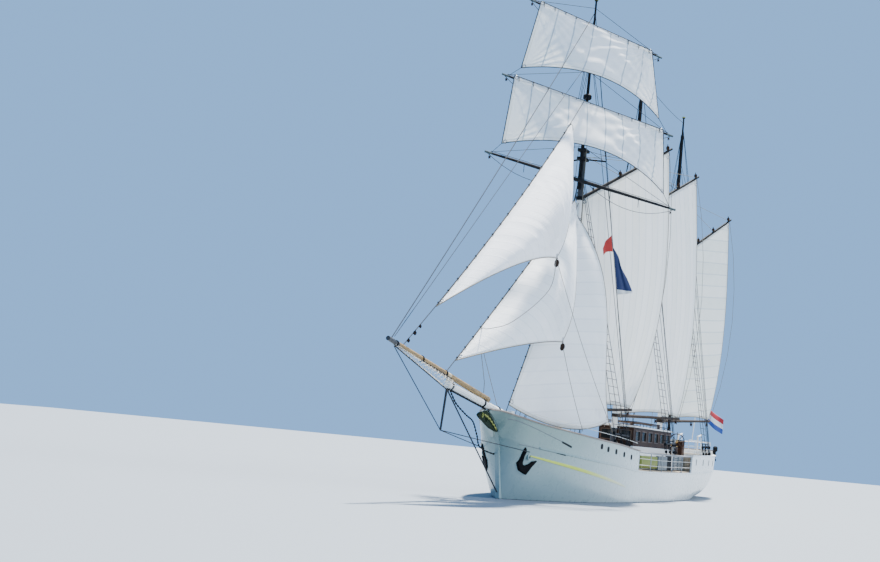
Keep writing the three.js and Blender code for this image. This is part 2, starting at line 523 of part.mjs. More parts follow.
// name, height, half length, cant in degrees (port end up), radius
const YARDS = [
  ['lower_yard', 17.9, 6.0, -8, 0.12],
  ['middle_yard', 22.35, 5.45, -10, 0.11],
  ['upper_yard', 26.95, 4.3, -13, 0.095],
];
function yardPoint(z, across, ahead, cant) {
  const lift = across * Math.tan(THREE.MathUtils.degToRad(cant));
  const turned = point(ahead, across, 0).applyAxisAngle(point(0, 0, 1), BRACE);
  return mastPoint('fore', z, TOPMAST_OFFSET).add(turned).add(point(0, 0, lift));
}
for (const [name, z, half, cant, radius] of YARDS) {
  const places = [-half, 0, half].map((across) => yardPoint(z, across, YARD_AHEAD, cant));
  const parrelEnd = yardPoint(z, 0, topmastRadius('fore', z) + 4 * SEAT, cant);
  add(name, join([
    spar(places, [radius * 0.55, radius, radius * 0.55]),
    rod(parrelEnd, places[1], 0.05, 0.05, 8),
  ]), 'black');
}
// name, head yard's radius, height and cant, head and foot half-width, foot height and cant, belly, foot arch
const TOPSAILS = [
  ['lower_topsail', 0.11, 22.35, -10, 4.75, 5.1, 18.6, -8, 1.5, 0.95],
  ['upper_topsail', 0.095, 26.95, -13, 3.6, 4.4, 23.05, -10, 1.3, 0.7],
];
for (const [name, yardRadius, headZ, headCant, headHalf, footHalf, footZ, footCant, depth, footArch] of TOPSAILS) {
  const headAhead = YARD_AHEAD + yardRadius * Math.cos(Math.PI / 10) + SAIL_THICKNESS / 2;
  const surface = (u, v) => {
    const t = 2 * u - 1;
    const across = t * THREE.MathUtils.lerp(footHalf, headHalf, v);
    const ahead = headAhead + depth * (1 - t * t) * Math.sin(Math.PI * 0.5 * (1 - v)) ** 1.1;
    const arch = footArch * (1 - t * t) * (1 - v) ** 2;
    return yardPoint(THREE.MathUtils.lerp(footZ, headZ, v) + arch, across, ahead, THREE.MathUtils.lerp(footCant, headCant, v));
  };
  add(name, slab(surface, 8, 7), 'canvas');
}

// Fore-and-aft sails: gaff, boom and sail swing together round their mast
// mast, boom: height, length, swing, rise; gaff: height, length, swing, rise; belly, leech sag
const GAFF_RIGS = [
  ['fore', 4.9, 9.2, 9.5, 3.4, 17.0, 8.9, 25.5, 30.2, 0.7, 1.0],
  ['main', 5.08, 9.1, 12.0, 2.0, 18.0, 9.0, 16.2, 27.3, 0.7, 0.6],
  ['mizzen', 5.2, 9.0, 9.5, 3.0, 16.7, 8.0, 21.8, 31.2, 0.6, 0.5],
];
function swung(mast, z, distance, swing, rise) {
  const [turn, climb] = [swing, rise].map(THREE.MathUtils.degToRad);
  const flat = distance * Math.cos(climb);
  const at = mastPoint(mast, z);
  return at.add(point(-flat * Math.cos(turn), flat * Math.sin(turn), distance * Math.sin(climb)));
}
const LACING = 0.0028;             // between a sail and the boom or gaff it is laced to
const COLLAR = { sides: 32, flat: Math.cos(Math.PI / 32), height: 0.22, thickness: 0.05 };
const SAIL_NAMES = { fore: 'foresail', main: 'mainsail', mizzen: 'mizzen_sail' };
for (const [mast, boomZ, boomLength, boomSwing, boomRise, gaffZ, gaffLength, gaffSwing, gaffRise, depth, leechSag] of GAFF_RIGS) {
  const luffGap = MAST_RADIUS + 0.16;
  const [boomRadius, gaffRadius] = [0.12, 0.1];
  // A collar round the mast carries the inner end of each spar
  const collared = (z, length, swing, rise, radius) => {
    const around = (height, gap) => rod(
      mastPoint(mast, z - height), mastPoint(mast, z + height),
      (mastRadius(mast, z - height) + gap) / COLLAR.flat, (mastRadius(mast, z + height) + gap) / COLLAR.flat, COLLAR.sides,
    );
    const body = rod(swung(mast, z, 0.1, swing, rise), swung(mast, z, length, swing, rise), radius, radius * 0.7);
    return cut(join([body, around(COLLAR.height / 2, COLLAR.thickness)]), [around(1, SEAT)]);
  };
  add(`${mast}_boom`, collared(boomZ, boomLength, boomSwing, boomRise, boomRadius), 'varnish');
  add(`${mast}_gaff`, collared(gaffZ, gaffLength, gaffSwing, gaffRise, gaffRadius), 'black');
  // Points where the sail meets a spar: the spar tapers, and its edge is plumb over or under its axis
  const beside = (z, length, swing, rise, radius, distance, way) => {
    const here = radius * THREE.MathUtils.lerp(1, 0.7, distance / length);
    const off = here / Math.cos(THREE.MathUtils.degToRad(rise)) + LACING;
    return swung(mast, z, distance, swing, rise).add(point(0, 0, way * off));
  };
  const onBoom = (distance) => beside(boomZ, boomLength, boomSwing, boomRise, boomRadius, distance, 1);
  const underGaff = (distance) => beside(gaffZ, gaffLength, gaffSwing, gaffRise, gaffRadius, distance, -1);
  const sailShape = {
    luff: (v) => onBoom(luffGap).lerp(underGaff(luffGap), v),
    clew: onBoom(boomLength - 0.3),
    peak: underGaff(gaffLength - 0.3),
    belly: point(0.1, 1, 0).multiplyScalar(depth),
    footArch: 0.25,
    leechSag,
  };
  add(SAIL_NAMES[mast], sail(sailShape), 'canvas');
}

// Shrouds: three a side, and a backstay over the crosstree, to a sheer pole at the rail
const SHROUD_HEAD = { fore: 17.42, main: 19.1, mizzen: 19.3 };
const SHROUD_STEP = 0.32;         // each further shroud aft is seized this much higher on the mast
const SHROUD_AFT = [0.9, 1.9, 2.9];
const BACKSTAY_AFT = 3.4;
const SHEER_POLE_RISE = 0.04;
// The rail's top: the bulwark's cap, or the round rail in the waist
function railTop(x, side) {
  const inWaist = x < WAIST.fore && x > WAIST.aft;
  const rim = SHROUD_RADIUS * 0.24 + SEAT;
  if (inWaist) return waistHead(x, side).add(point(0, 0, 0.045 + rim));
  return point(x, side * (column(x, RAIL) - 0.04), column(x, RAIL_HEIGHT) + rim);
}
const shroudFoot = (mast, side, aft) => railTop(MAST_X[mast] - aft, side);
const backstayFoot = (mast, side) => shroudFoot(mast, side, BACKSTAY_AFT);
const backstayHead = (mast, side) => crosstreeEnd(mast, side).add(point(0.01, 0, -CROSSTREE.radius - 0.0018));
for (const mast of ['fore', 'main', 'mizzen']) {
  for (const [name, side] of [['port', 1], ['starboard', -1]]) {
    const lines = SHROUD_AFT.map((aft, i) => {
      const z = SHROUD_HEAD[mast] + i * SHROUD_STEP;
      const beside = point(0, side * (mastRadius(mast, z) + SHROUD_RADIUS - 3 * SEAT), 0);
      return [shroudFoot(mast, side, aft), mastPoint(mast, z).add(beside)];
    });
    lines.push([backstayFoot(mast, side), backstayHead(mast, side)]);
    const [poleFore, poleAft] = [lines[0], lines.at(-1)].map(([foot, head]) => foot.clone().lerp(head, SHEER_POLE_RISE));
    add(`${mast}_shrouds_${name}`, join([
      ...lines.map(([foot, head]) => rod(foot, head, SHROUD_RADIUS, SHROUD_RADIUS, 6)),
      rod(poleFore, poleAft, 0.05, 0.05, 6),
    ]), 'steel');
  }
}

// Anchors in their hawse pipes
for (const [name, side, clear] of [['port', 1, 0.1586], ['starboard', -1, 0.1556]]) {
  const at = (x, z) => point(x, side * (hullHalf(x, z) + clear), z);
  add(`anchor_${name}`, join([
    rod(at(17.8, 1.65), at(17.4, 2.3), 0.08, 0.08, 8),
    rod(at(18.0, 1.85), at(17.6, 1.45), 0.13, 0.13, 8),
    rod(at(18.0, 1.85), at(17.62, 2.55), 0.11, 0.03, 8),
    rod(at(17.6, 1.45), at(16.95, 2.0), 0.11, 0.03, 8),
  ]), 'black');
}

// Rudder and propeller
const RUDDER_AXIS_X = -16.35;
add('rudder', join([
  plate([[RUDDER_AXIS_X - 0.05, -2.5], [-17.5, -2.35], [-17.6, -0.62], [RUDDER_AXIS_X - 0.05, -0.9]], -0.06, 0.06),
  rod(point(RUDDER_AXIS_X, 0, APERTURE.low + SEAT), point(RUDDER_AXIS_X, 0, -0.8), 0.09, 0.09, 12),
]), 'white');
const SHAFT = { z: -1.72, hub: 0.16, radius: 0.68 };
const blades = [0, 1, 2, 3].map((i) => {
  const blade = box([-0.04, 0.04], [-0.2, 0.2], [0.05, SHAFT.radius]).rotateZ(0.6).rotateX(i * Math.PI / 2);
  return blade.translate(-15.42, 0, SHAFT.z);
});
add('propeller', join([
  ...blades,
  rod(point(APERTURE.fore - SEAT, 0, SHAFT.z), point(-15.8, 0, SHAFT.z), SHAFT.hub, SHAFT.hub * 0.6, 12),
]), 'bronze');

// Dinghy in davits over the stern
const DINGHY = { x: -22.1, z: 3.15, depth: 0.35, half: 1.75 };
const dinghyRings = [-1, -0.6, 0, 0.6, 1].map((t) => {
  const width = 0.62 * (1 - 0.75 * Math.max(0, -t) ** 2) * (t > 0.9 ? 0.85 : 1);
  const y = DINGHY.half * t;
  const low = DINGHY.z - 0.3 * (1 - 0.5 * t * t);
  return [
    point(DINGHY.x - width, y, DINGHY.z + DINGHY.depth), point(DINGHY.x - width * 0.7, y, low),
    point(DINGHY.x + width * 0.7, y, low), point(DINGHY.x + width, y, DINGHY.z + DINGHY.depth),
  ];
});
add('dinghy', loft(dinghyRings), 'white');
// Guard rail round the raised deck, with the davits and the ensign staff
const GUARD = { rise: 1.1, inboard: 0.42, sternX: -21.0 };
const guardFoot = (x, side) => point(x, side * (column(x, RAIL) - GUARD.inboard), RAISED_DECK + SEAT);
const raised = (p) => p.clone().add(point(0, 0, GUARD.rise));
const guardPlaces = [-9.4, -11.6, -13.8, -15.8, -17.6, -19.2, -20.3, GUARD.sternX];
const guardFeet = [
  ...guardPlaces.map((x) => guardFoot(x, 1)),
  ...guardPlaces.toReversed().map((x) => guardFoot(x, -1)),
];
const davit = (y) => {
  const knee = point(GUARD.sternX, y, 4.45);
  const head = point(DINGHY.x, y, 4.6);
  return [
    rod(point(GUARD.sternX, y, RAISED_DECK + SEAT), knee, 0.06, 0.06, 8),
    rod(knee, head, 0.06, 0.05, 8),
    rod(head, point(DINGHY.x, y, DINGHY.z + DINGHY.depth + SEAT), 0.02, 0.02, 5),
    new THREE.SphereGeometry(0.075, 8, 6).translate(knee.x, knee.y, knee.z),
  ];
};
const STAFF = { foot: point(GUARD.sternX, 0.3, RAISED_DECK + GUARD.rise), head: point(-22.0, 0.3, 7.4), radius: 0.035 };
add('stern_rail', join([
  ...guardFeet.map((foot) => rod(foot, raised(foot), 0.025, 0.025, 5)),
  ...guardFeet.slice(1).map((foot, i) => rod(raised(guardFeet[i]), raised(foot), 0.03, 0.03, 5)),
  ...davit(-0.75),
  ...davit(0.75),
  rod(STAFF.foot, STAFF.head, STAFF.radius, STAFF.radius * 0.7, 8),
]), 'white');

// Ensign, and a signal flag on the fore shrouds
const staffPoint = (t) => STAFF.foot.clone().lerp(STAFF.head, t);
add('ensign', slab((u, v) => {
  const hoist = staffPoint(0.65 + 0.33 * v).add(point(-0.02, 0.0214, 0));
  return hoist.add(point(-0.9 * u, 1.9 * u, -1.45 * u + 0.06 * Math.sin(7 * u)));
}, 7, 3), 'navy');

const backstay = (t) => backstayFoot('fore', 1).lerp(backstayHead('fore', 1), t);
add('signal_flag', slab((u, v) => {
  const hoist = backstay(0.535 + 0.165 * v).add(point(0, SHROUD_RADIUS + 0.0049, 0));
  return hoist.add(point(-0.65 * u, 0.75 * u + 0.05 * Math.sin(6 * u), 0.2 * u - 1.85 * u * v));
}, 4, 4), 'navy');

schooner.scale.setScalar(MODEL_SCALE * MILLIMETRES);
schooner.updateMatrixWorld(true);

export default schooner;
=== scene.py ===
# %% [markdown]
# # A three-masted topsail schooner under sail
# The ship is full of thin things: wires, seams, planks and cloth. The CAD model gives every solid
# and every joint. Blender adds what makes them look real. We start by loading that fixed frame.

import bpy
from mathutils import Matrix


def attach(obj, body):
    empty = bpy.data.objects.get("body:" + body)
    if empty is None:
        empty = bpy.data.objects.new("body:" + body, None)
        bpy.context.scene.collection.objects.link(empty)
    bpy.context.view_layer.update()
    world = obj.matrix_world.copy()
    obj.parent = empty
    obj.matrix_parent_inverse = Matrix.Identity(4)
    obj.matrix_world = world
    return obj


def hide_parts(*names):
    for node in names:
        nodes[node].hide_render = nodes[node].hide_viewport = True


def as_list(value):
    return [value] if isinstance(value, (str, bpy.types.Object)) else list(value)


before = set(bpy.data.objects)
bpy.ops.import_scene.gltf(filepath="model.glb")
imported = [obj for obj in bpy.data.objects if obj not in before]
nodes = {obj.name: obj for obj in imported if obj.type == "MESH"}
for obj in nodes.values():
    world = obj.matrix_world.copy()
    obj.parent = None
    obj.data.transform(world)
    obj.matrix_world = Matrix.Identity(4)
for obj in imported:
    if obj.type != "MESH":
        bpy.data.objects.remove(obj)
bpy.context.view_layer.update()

# %% Tools that the rest needs
import math

import bmesh
import bpy
import numpy as np
from mathutils import Matrix, Vector

# %% [markdown]
# The model is half the size of the ship. It is easier to think in the real ship's metres, so every
# size below is full-size: x forward of midships, y to port, z above the waterline. Meshes are
# scaled by one half as the very last step of making them.

# %% The ship's own metres
SCALE = 0.5
SIDES = {"port": 1, "starboard": -1}


def at(x, y, z):
    return Vector((x, y, z))


def lerp(a, b, t):
    return a + (b - a) * t


def angles(count, closed=False):
    """Even steps round a full turn, and the first once more at the end of a closed ring."""
    return [2 * math.pi * k / count for k in range(count + closed)]


def new_object(name, data):
    made = bpy.data.objects.new(name, data)
    bpy.context.scene.collection.objects.link(made)
    return made


# %% [markdown]
# The camera looks at the port bow from low on the water. A ship under sail heels, here by 5.6
# degrees to port. The model stays upright and the camera takes the heel instead, so that the
# hull's waterline still lies on the floor.

# %% The camera at the photograph's angle
HEEL, OFF_BOW = math.radians(5.6), math.radians(23.5)
HORIZON_BELOW_MIDDLE, FOCAL_LENGTH = 206, 1380  # both in pixels of the photograph
CAMERA_PLACE, LENS, SENSOR_WIDTH = (41.68, 12.52, 1.52), 56.45, 36


def camera_turn(heel, off_bow, pitch):
    right = at(-math.sin(off_bow), math.cos(heel) * math.cos(off_bow), math.sin(heel) * math.cos(off_bow))
    level = at(-math.cos(off_bow), -math.cos(heel) * math.sin(off_bow), -math.sin(heel) * math.sin(off_bow))
    upright = at(0, -math.sin(heel), math.cos(heel))
    ahead = level * math.cos(pitch) + upright * math.sin(pitch)
    upward = upright * math.cos(pitch) - level * math.sin(pitch)
    return Matrix((right, upward, -ahead)).transposed().to_4x4()


camera = new_object("Camera", bpy.data.cameras.new("Camera"))
bpy.context.scene.camera = camera
camera.data.sensor_width = SENSOR_WIDTH
camera.data.lens = LENS
camera.data.clip_end = 500
pitch_up = math.atan(HORIZON_BELOW_MIDDLE / FOCAL_LENGTH)
camera.matrix_world = Matrix.Translation(CAMERA_PLACE) @ camera_turn(HEEL, OFF_BOW, pitch_up)
print("camera at", CAMERA_PLACE, "lens", LENS)

# %% [markdown]
# A plain pale floor lies at the waterline. A high sun from astern shines through the sails, as it
# does on a real ship, a broad soft one from port lights the hull, and a pale sky fills the shade.

# %% Floor and light
def make_floor(half=120):
    mesh = bpy.data.meshes.new("floor")
    corners = [(-half, -half, 0), (half, -half, 0), (half, half, 0), (-half, half, 0)]
    mesh.from_pydata(corners, [], [(0, 1, 2, 3)])
    material = bpy.data.materials.new("floor_paint")
    material.use_nodes = True
    shader = material.node_tree.nodes["Principled BSDF"]
    shader.inputs["Base Color"].default_value = (0.20, 0.235, 0.27, 1)
    shader.inputs["Roughness"].default_value = 0.7
    mesh.materials.append(material)
    new_object("floor", mesh)


def make_sun(name, towards, strength, angle, colour):
    lamp = bpy.data.lights.new(name, "SUN")
    lamp.energy = strength
    lamp.angle = math.radians(angle)
    lamp.color = colour
    new_object(name, lamp).rotation_euler = Vector(towards).to_track_quat("Z", "Y").to_euler()


def make_sky(colour, strength):
    world = bpy.data.worlds.new("pale_sky")
    bpy.context.scene.world = world
    world.use_nodes = True
    background = world.node_tree.nodes["Background"]
    background.inputs["Color"].default_value = (*colour, 1)
    background.inputs["Strength"].default_value = strength


make_floor()
make_sun("key_sun", (-0.35, 1.0, 0.6), 2.6, 30, (1.0, 0.98, 0.95))
make_sun("back_sun", (-0.75, -0.12, 1.45), 18.0, 3, (1.0, 0.97, 0.92))
make_sky((0.27, 0.54, 1.0), 1.1)

# %% [markdown]
# Materials are small programs. Shade wraps one socket of a material's node tree, so that an
# expression such as `1 - mask` adds its own Math nodes. Any other node comes from `node`.

# %% Shader maths as Python expressions
class Shade:
    def __init__(self, socket):
        self.socket = socket

    def node(self, kind, settings=None, inputs=None, output=0):
        tree = self.socket.id_data
        made = tree.nodes.new(kind)
        for name, value in (settings or {}).items():
            setattr(made, name, value)
        for name, value in (inputs or {}).items():
            if isinstance(value, Shade):
                tree.links.new(value.socket, made.inputs[name])
            else:
                made.inputs[name].default_value = value
        return Shade(made.outputs[output])

    def maths(self, operation, *values):
        return self.node("ShaderNodeMath", {"operation": operation}, dict(enumerate(values)))

    def __add__(self, other):
        return self.maths("ADD", self, other)

    def __sub__(self, other):
        return self.maths("SUBTRACT", self, other)

    def __rsub__(self, other):
        return self.maths("SUBTRACT", other, self)

    def __mul__(self, other):
        return self.maths("MULTIPLY", self, other)

    def __lt__(self, other):
        return self.maths("LESS_THAN", self, other)

    def __gt__(self, other):
        return self.maths("GREATER_THAN", self, other)

    __radd__ = __add__
    __rmul__ = __mul__

    def either(self, other):
        return self.maths("MAXIMUM", self, other)

    def fraction(self):
        return self.maths("FRACT", self)

    def floor(self):
        return self.maths("FLOOR", self)

    def off(self, value):
        """How far this is from a value, on either side."""
        gap = self - value
        return gap.maths("ABSOLUTE", gap)

    def smooth(self, low, high):
        limits = {"From Min": low, "From Max": high, "Value": self}
        return self.node("ShaderNodeMapRange", {"interpolation_type": "SMOOTHSTEP"}, limits)

    def parts(self):
        return [self.node("ShaderNodeSeparateXYZ", None, {"Vector": self}, i) for i in range(3)]

    def scaled(self, x, y, z):
        return self.node("ShaderNodeMapping", None, {"Vector": self, "Scale": (x, y, z)})

    def noise(self, scale, detail=3, roughness=0.5):
        sizes = {"Vector": self, "Scale": scale, "Detail": detail, "Roughness": roughness}
        return self.node("ShaderNodeTexNoise", None, sizes)

    def ramp(self, *stops):
        made = self.node("ShaderNodeValToRGB", None, {"Fac": self})
        elements = made.socket.node.color_ramp.elements
        while len(elements) < len(stops):
            elements.new(0.5)
        for element, (place, colour) in zip(elements, stops):
            element.position = place
            element.color = (*colour, 1)
        return made


def blend(factor, low, high, mode="MIX"):
    """Colour `low` where factor is 0 and `high` where it is 1."""
    source = factor if isinstance(factor, Shade) else low
    values = {0: factor}
    for index, colour in ((6, low), (7, high)):
        values[index] = colour if isinstance(colour, Shade) else (*colour, 1)
    return source.node("ShaderNodeMix", {"data_type": "RGBA", "blend_type": mode}, values, 2)


# %% [markdown]
# A finish is one Principled shader. Values that are the same all over go straight on its sockets.
# Values that change over the surface are linked: colour, roughness and a bump.

# %% Starting a finish
def new_finish(name, roughness=0.5, metallic=0.0, coat=0.0):
    material = bpy.data.materials.new(name)
    material.use_nodes = True
    shader = material.node_tree.nodes["Principled BSDF"]
    shader.inputs["Roughness"].default_value = roughness
    shader.inputs["Metallic"].default_value = metallic
    shader.inputs["Coat Weight"].default_value = coat
    place = Shade(material.node_tree.nodes.new("ShaderNodeTexCoord").outputs["Object"])
    return material, shader, place


def feed(shader, colour, roughness=None, bump=None, depth=0.002, strength=0.6):
    links = shader.id_data.links
    links.new(colour.socket, shader.inputs["Base Color"])
    if roughness is not None:
        links.new(roughness.socket, shader.inputs["Roughness"])
    if bump is not None:
        sizes = {"Height": bump, "Strength": strength, "Distance": depth}
        links.new(bump.node("ShaderNodeBump", None, sizes).socket, shader.inputs["Normal"])


def uv_parts(material, layer):
    made = material.node_tree.nodes.new("ShaderNodeUVMap")
    made.uv_map = layer
    return Shade(made.outputs["UV"]).parts()


def make_dull(*materials):
    """Old paint, oiled wood and tarred rope hardly mirror the sky."""
    for material in materials:
        shader = material.node_tree.nodes["Principled BSDF"]
        shader.inputs["Specular IOR Level"].default_value = 0.15
        shader.inputs["Coat Weight"].default_value = 0.0


# %% [markdown]
# ## Paints
# The hull is white over a dark boot-top and red antifouling. Rain and rust leave faint streaks
# that run down, so their noise is stretched along z. Welded plates show as very shallow lines.
# These heights and lengths are the model's own, since Object coordinates are.

# %% Hull paint
BOTTOM_PAINT_TOP, BOOT_TOP = -0.05, 0.012


def make_hull_paint():
    clean, streak, low_green_tint = (0.79, 0.82, 0.80), (0.47, 0.49, 0.43), (0.52, 0.59, 0.54)
    bow_painted_shade_low, bow_painted_shade_high = (0.20, 0.32, 0.33), (0.11, 0.205, 0.18)
    boot, fouling, old_fouling = (0.045, 0.05, 0.055), (0.22, 0.045, 0.03), (0.13, 0.05, 0.035)
    material, shader, place = new_finish("hull_paint", 0.3, coat=0.25)
    x, _, z = place.parts()
    streaks = place.scaled(5, 5, 0.35).noise(2.2, 5, 0.6).smooth(0.56, 0.78)
    white = blend(streaks * 0.30, clean, streak)
    # Greener towards the waterline, in patches.
    white = blend((1 - z.smooth(0.0, 1.1)) * place.noise(1.3, 4) * 0.48, white, low_green_tint)
    # Painted shade: towards the bow the white side fades to a dark grey-teal, darker higher up, standing in
    # for the shade on the bow.
    white = blend(x.smooth(-3.0, 8.6) * 0.9, white, blend(z.smooth(0.3, 2.0), bow_painted_shade_low, bow_painted_shade_high))
    growth = blend(place.noise(9, 5, 0.65).smooth(0.4, 0.7), fouling, old_fouling)
    colour = blend(z < BOTTOM_PAINT_TOP, blend(z < BOOT_TOP, white, boot), growth)
    plate_edges = (x * 0.67).fraction().smooth(0.0, 0.014) + (z * 2.1).fraction().smooth(0.0, 0.04)
    gloss = place.noise(6, 3).smooth(0.2, 0.9) * 0.16 + 0.24
    feed(shader, colour, gloss, plate_edges + place.noise(0.9, 2) * 2.0, 0.0016, 0.35)
    return material


hull_paint = make_hull_paint()

# %% White, grey and black paint for fittings and spars
PAINTS = [  # name, tone, worn tone, roughness, grain
    ("white_paint", (0.80, 0.81, 0.78), (0.62, 0.58, 0.48), 0.38, 14),
    ("grey_paint", (0.15, 0.17, 0.18), (0.10, 0.105, 0.10), 0.6, 14),
    ("black_paint", (0.005, 0.006, 0.008), (0.030, 0.027, 0.024), 0.7, 14),
    ("anchor_iron", (0.002, 0.002, 0.003), (0.014, 0.011, 0.009), 0.8, 14),
    ("yellow_green_canvas", (0.22, 0.25, 0.045), (0.12, 0.14, 0.04), 0.85, 5),
]


def make_paint(name, tone, worn, roughness, grain):
    material, shader, place = new_finish(name, roughness, coat=0.15)
    colour = blend(place.noise(grain, 5, 0.65).smooth(0.55, 0.8) * 0.35, tone, worn)
    gloss = place.noise(grain * 0.6, 3) * 0.25 + (roughness - 0.1)
    feed(shader, colour, gloss, place.noise(grain * 6, 2), 0.0006, 0.4)
    return material


white_paint, grey_paint, black_paint, iron, canvas_paint = [make_paint(*row) for row in PAINTS]
make_dull(black_paint, iron)

# %% [markdown]
# The lower masts are white, with a dark band at the foot and a dark head. Both are heights, so
# the material reads the z of Object coordinates.

# %% Mast paint
FOOT_BAND_TOP = 2.15


def make_mast_paint(name, dark_from):
    material, shader, place = new_finish(name, 0.4, coat=0.15)
    z = place.parts()[2]
    chafe = place.scaled(8, 8, 0.6).noise(3, 4).smooth(0.5, 0.8)
    white = blend(chafe * 0.3, (0.79, 0.79, 0.75), (0.56, 0.50, 0.40))
    colour = blend((z < FOOT_BAND_TOP).either(z > dark_from), white, (0.03, 0.028, 0.028))
    feed(shader, colour, None, place.scaled(20, 20, 1).noise(4, 2), 0.0008, 0.4)
    return material


mast_paint = make_mast_paint("mast_paint", 9.9)
fore_mast_paint = make_mast_paint("fore_mast_paint", 8.45)

# %% [markdown]
# ## Woods
# Teak decks are narrow planks along the ship with dark caulking between them. The plank number is
# the floor of y over the plank's width, and it shifts each plank's tone and where its ends fall.

# %% Teak planking
def make_teak(width=0.055):
    material, shader, place = new_finish("teak_planks", 0.75)
    x, y = place.parts()[:2]
    across = y * (1 / width)
    plank = across.floor()
    along = x * 0.55 + (plank * 0.37).fraction()
    seam = across.fraction().off(0.5).smooth(0.44, 0.48)
    butt = along.fraction().off(0.5).smooth(0.492, 0.497)
    caulk = seam.either(butt)
    tone = (plank * 0.618 + along.floor() * 0.31).fraction() * 0.5 + place.scaled(3, 60, 60).noise(2, 4) * 0.5
    wood = tone.ramp((0.15, (0.30, 0.215, 0.135)), (0.5, (0.43, 0.33, 0.22)), (0.85, (0.56, 0.46, 0.34)))
    feed(shader, blend(caulk, wood, (0.03, 0.028, 0.026)), None, 1 - caulk, 0.002, 0.6)
    return material


teak = make_teak()

# %% [markdown]
# The other woods share one grain. The spruce of the jib boom is painted black at its outer tip,
# and a pale band goes round it where the bowsprit ends.

# %% Mahogany, trim and spruce
WOODS = [  # name, dark, middle and light tone, roughness, coat
    ("varnished_mahogany", (0.014, 0.007, 0.005), (0.032, 0.016, 0.010), (0.060, 0.030, 0.018), 0.55, 0.0),
    ("boom_varnish", (0.014, 0.010, 0.008), (0.030, 0.020, 0.014), (0.055, 0.036, 0.024), 0.55, 0.0),
    ("trim_varnish", (0.040, 0.022, 0.013), (0.075, 0.042, 0.024), (0.12, 0.068, 0.038), 0.5, 0.1),
    ("cap_rail_teak", (0.13, 0.10, 0.08), (0.23, 0.18, 0.145), (0.36, 0.30, 0.25), 0.6, 0.1),
]
BLACK_TIP_FROM, PALE_BAND_AT = 15.62, 12.86


def make_wood(name, dark, middle, light, roughness, coat, painted=None):
    material, shader, place = new_finish(name, roughness, coat=coat)
    grain = place.scaled(1.6, 26, 26).noise(1.6, 6, 0.6)
    tone = grain * 0.7 + place.noise(2.2, 2) * 0.3
    colour = tone.ramp((0.3, dark), (0.5, middle), (0.7, light))
    if painted:
        colour = painted(place.parts()[0], colour)
    feed(shader, colour, grain * 0.2 + (roughness - 0.1), grain, 0.0008, 0.4)
    return material


def jib_boom_bands(x, wood):
    tipped = blend(x > BLACK_TIP_FROM, wood, (0.03, 0.03, 0.032))
    return blend(x.off(PALE_BAND_AT) < 0.09, tipped, (0.50, 0.40, 0.24))


mahogany, boom_wood, trim_wood, cap_wood = [make_wood(*row) for row in WOODS]
spruce_tones = (0.10, 0.055, 0.015), (0.24, 0.145, 0.042), (0.42, 0.27, 0.09)
spruce = make_wood("varnished_spruce", *spruce_tones, 0.5, 0.05, jib_boom_bands)
make_dull(mahogany, boom_wood)
print("woods:", teak.name, mahogany.name, boom_wood.name, spruce.name)

# %% [markdown]
# ## Ropes and metals
# A wire or rope is laid in strands. On a line this thin the strands show as a fine ripple, so the
# bump is a quick noise along the line. Cast and carved metal takes the same finish.

# %% Rope, wire and metals
ROPES = [  # name, light and dark tone, roughness, metallic
    ("wire_rope", (0.045, 0.048, 0.055), (0.015, 0.016, 0.018), 0.75, 0.0),
    ("hemp_rope", (0.26, 0.23, 0.18), (0.14, 0.12, 0.09), 0.9, 0.0),
    ("tarred_rope", (0.060, 0.055, 0.050), (0.025, 0.022, 0.020), 0.8, 0.0),
    ("white_rope", (0.80, 0.79, 0.74), (0.56, 0.55, 0.50), 0.85, 0.0),
    ("cast_bronze", (0.62, 0.42, 0.17), (0.36, 0.24, 0.10), 0.35, 0.95),
    ("gilt_carving", (0.30, 0.30, 0.05), (0.14, 0.18, 0.04), 0.5, 0.2),
    ("green_carving", (0.010, 0.026, 0.008), (0.004, 0.010, 0.005), 0.7, 0.0),
    ("galvanised_steel", (0.42, 0.44, 0.46), (0.22, 0.23, 0.24), 0.45, 0.85),
]


def make_rope(name, light, dark, roughness, metallic):
    material, shader, place = new_finish(name, roughness, metallic)
    strands = place.noise(75, 2, 0.5)
    feed(shader, blend(strands.smooth(0.35, 0.65), light, dark), None, strands, 0.002, 0.8)
    return material


wire, hemp, tarred, white_rope, bronze, gilt, leaf_green, galvanised = [make_rope(*row) for row in ROPES]
make_dull(leaf_green, wire, tarred)


# %% Stripe and glass
def make_stripe_paint():
    """Yellow-green with worn patches, paler towards the after end of the stripe."""
    material, shader, place = new_finish("stripe_paint", 0.5)
    along = place.parts()[0].smooth(3.4, 7.0)
    worn = blend(place.noise(14, 5, 0.65).smooth(0.5, 0.8) * 0.5, (0.50, 0.60, 0.05), (0.42, 0.46, 0.16))
    feed(shader, blend(along, (0.68, 0.70, 0.50), worn))
    return material


def make_glass():
    material, shader, place = new_finish("window_glass", 0.2)
    shader.inputs["Specular IOR Level"].default_value = 0.05
    smears = place.noise(5, 3).smooth(0.3, 0.8)
    feed(shader, blend(smears, (0.014, 0.017, 0.018), (0.045, 0.050, 0.050)), smears * 0.10 + 0.14)
    return material


stripe_paint = make_stripe_paint()
glass = make_glass()

# %% [markdown]
# ## Sailcloth
# A sail is sewn from narrow cloths. Each mesh carries two UV maps for that. The first, `cloth`,
# holds metres across the seams and along them. The second, `hem`, holds the distance to the
# nearest edge and to the nearest corner, for the doubled tablings and the corner patches.

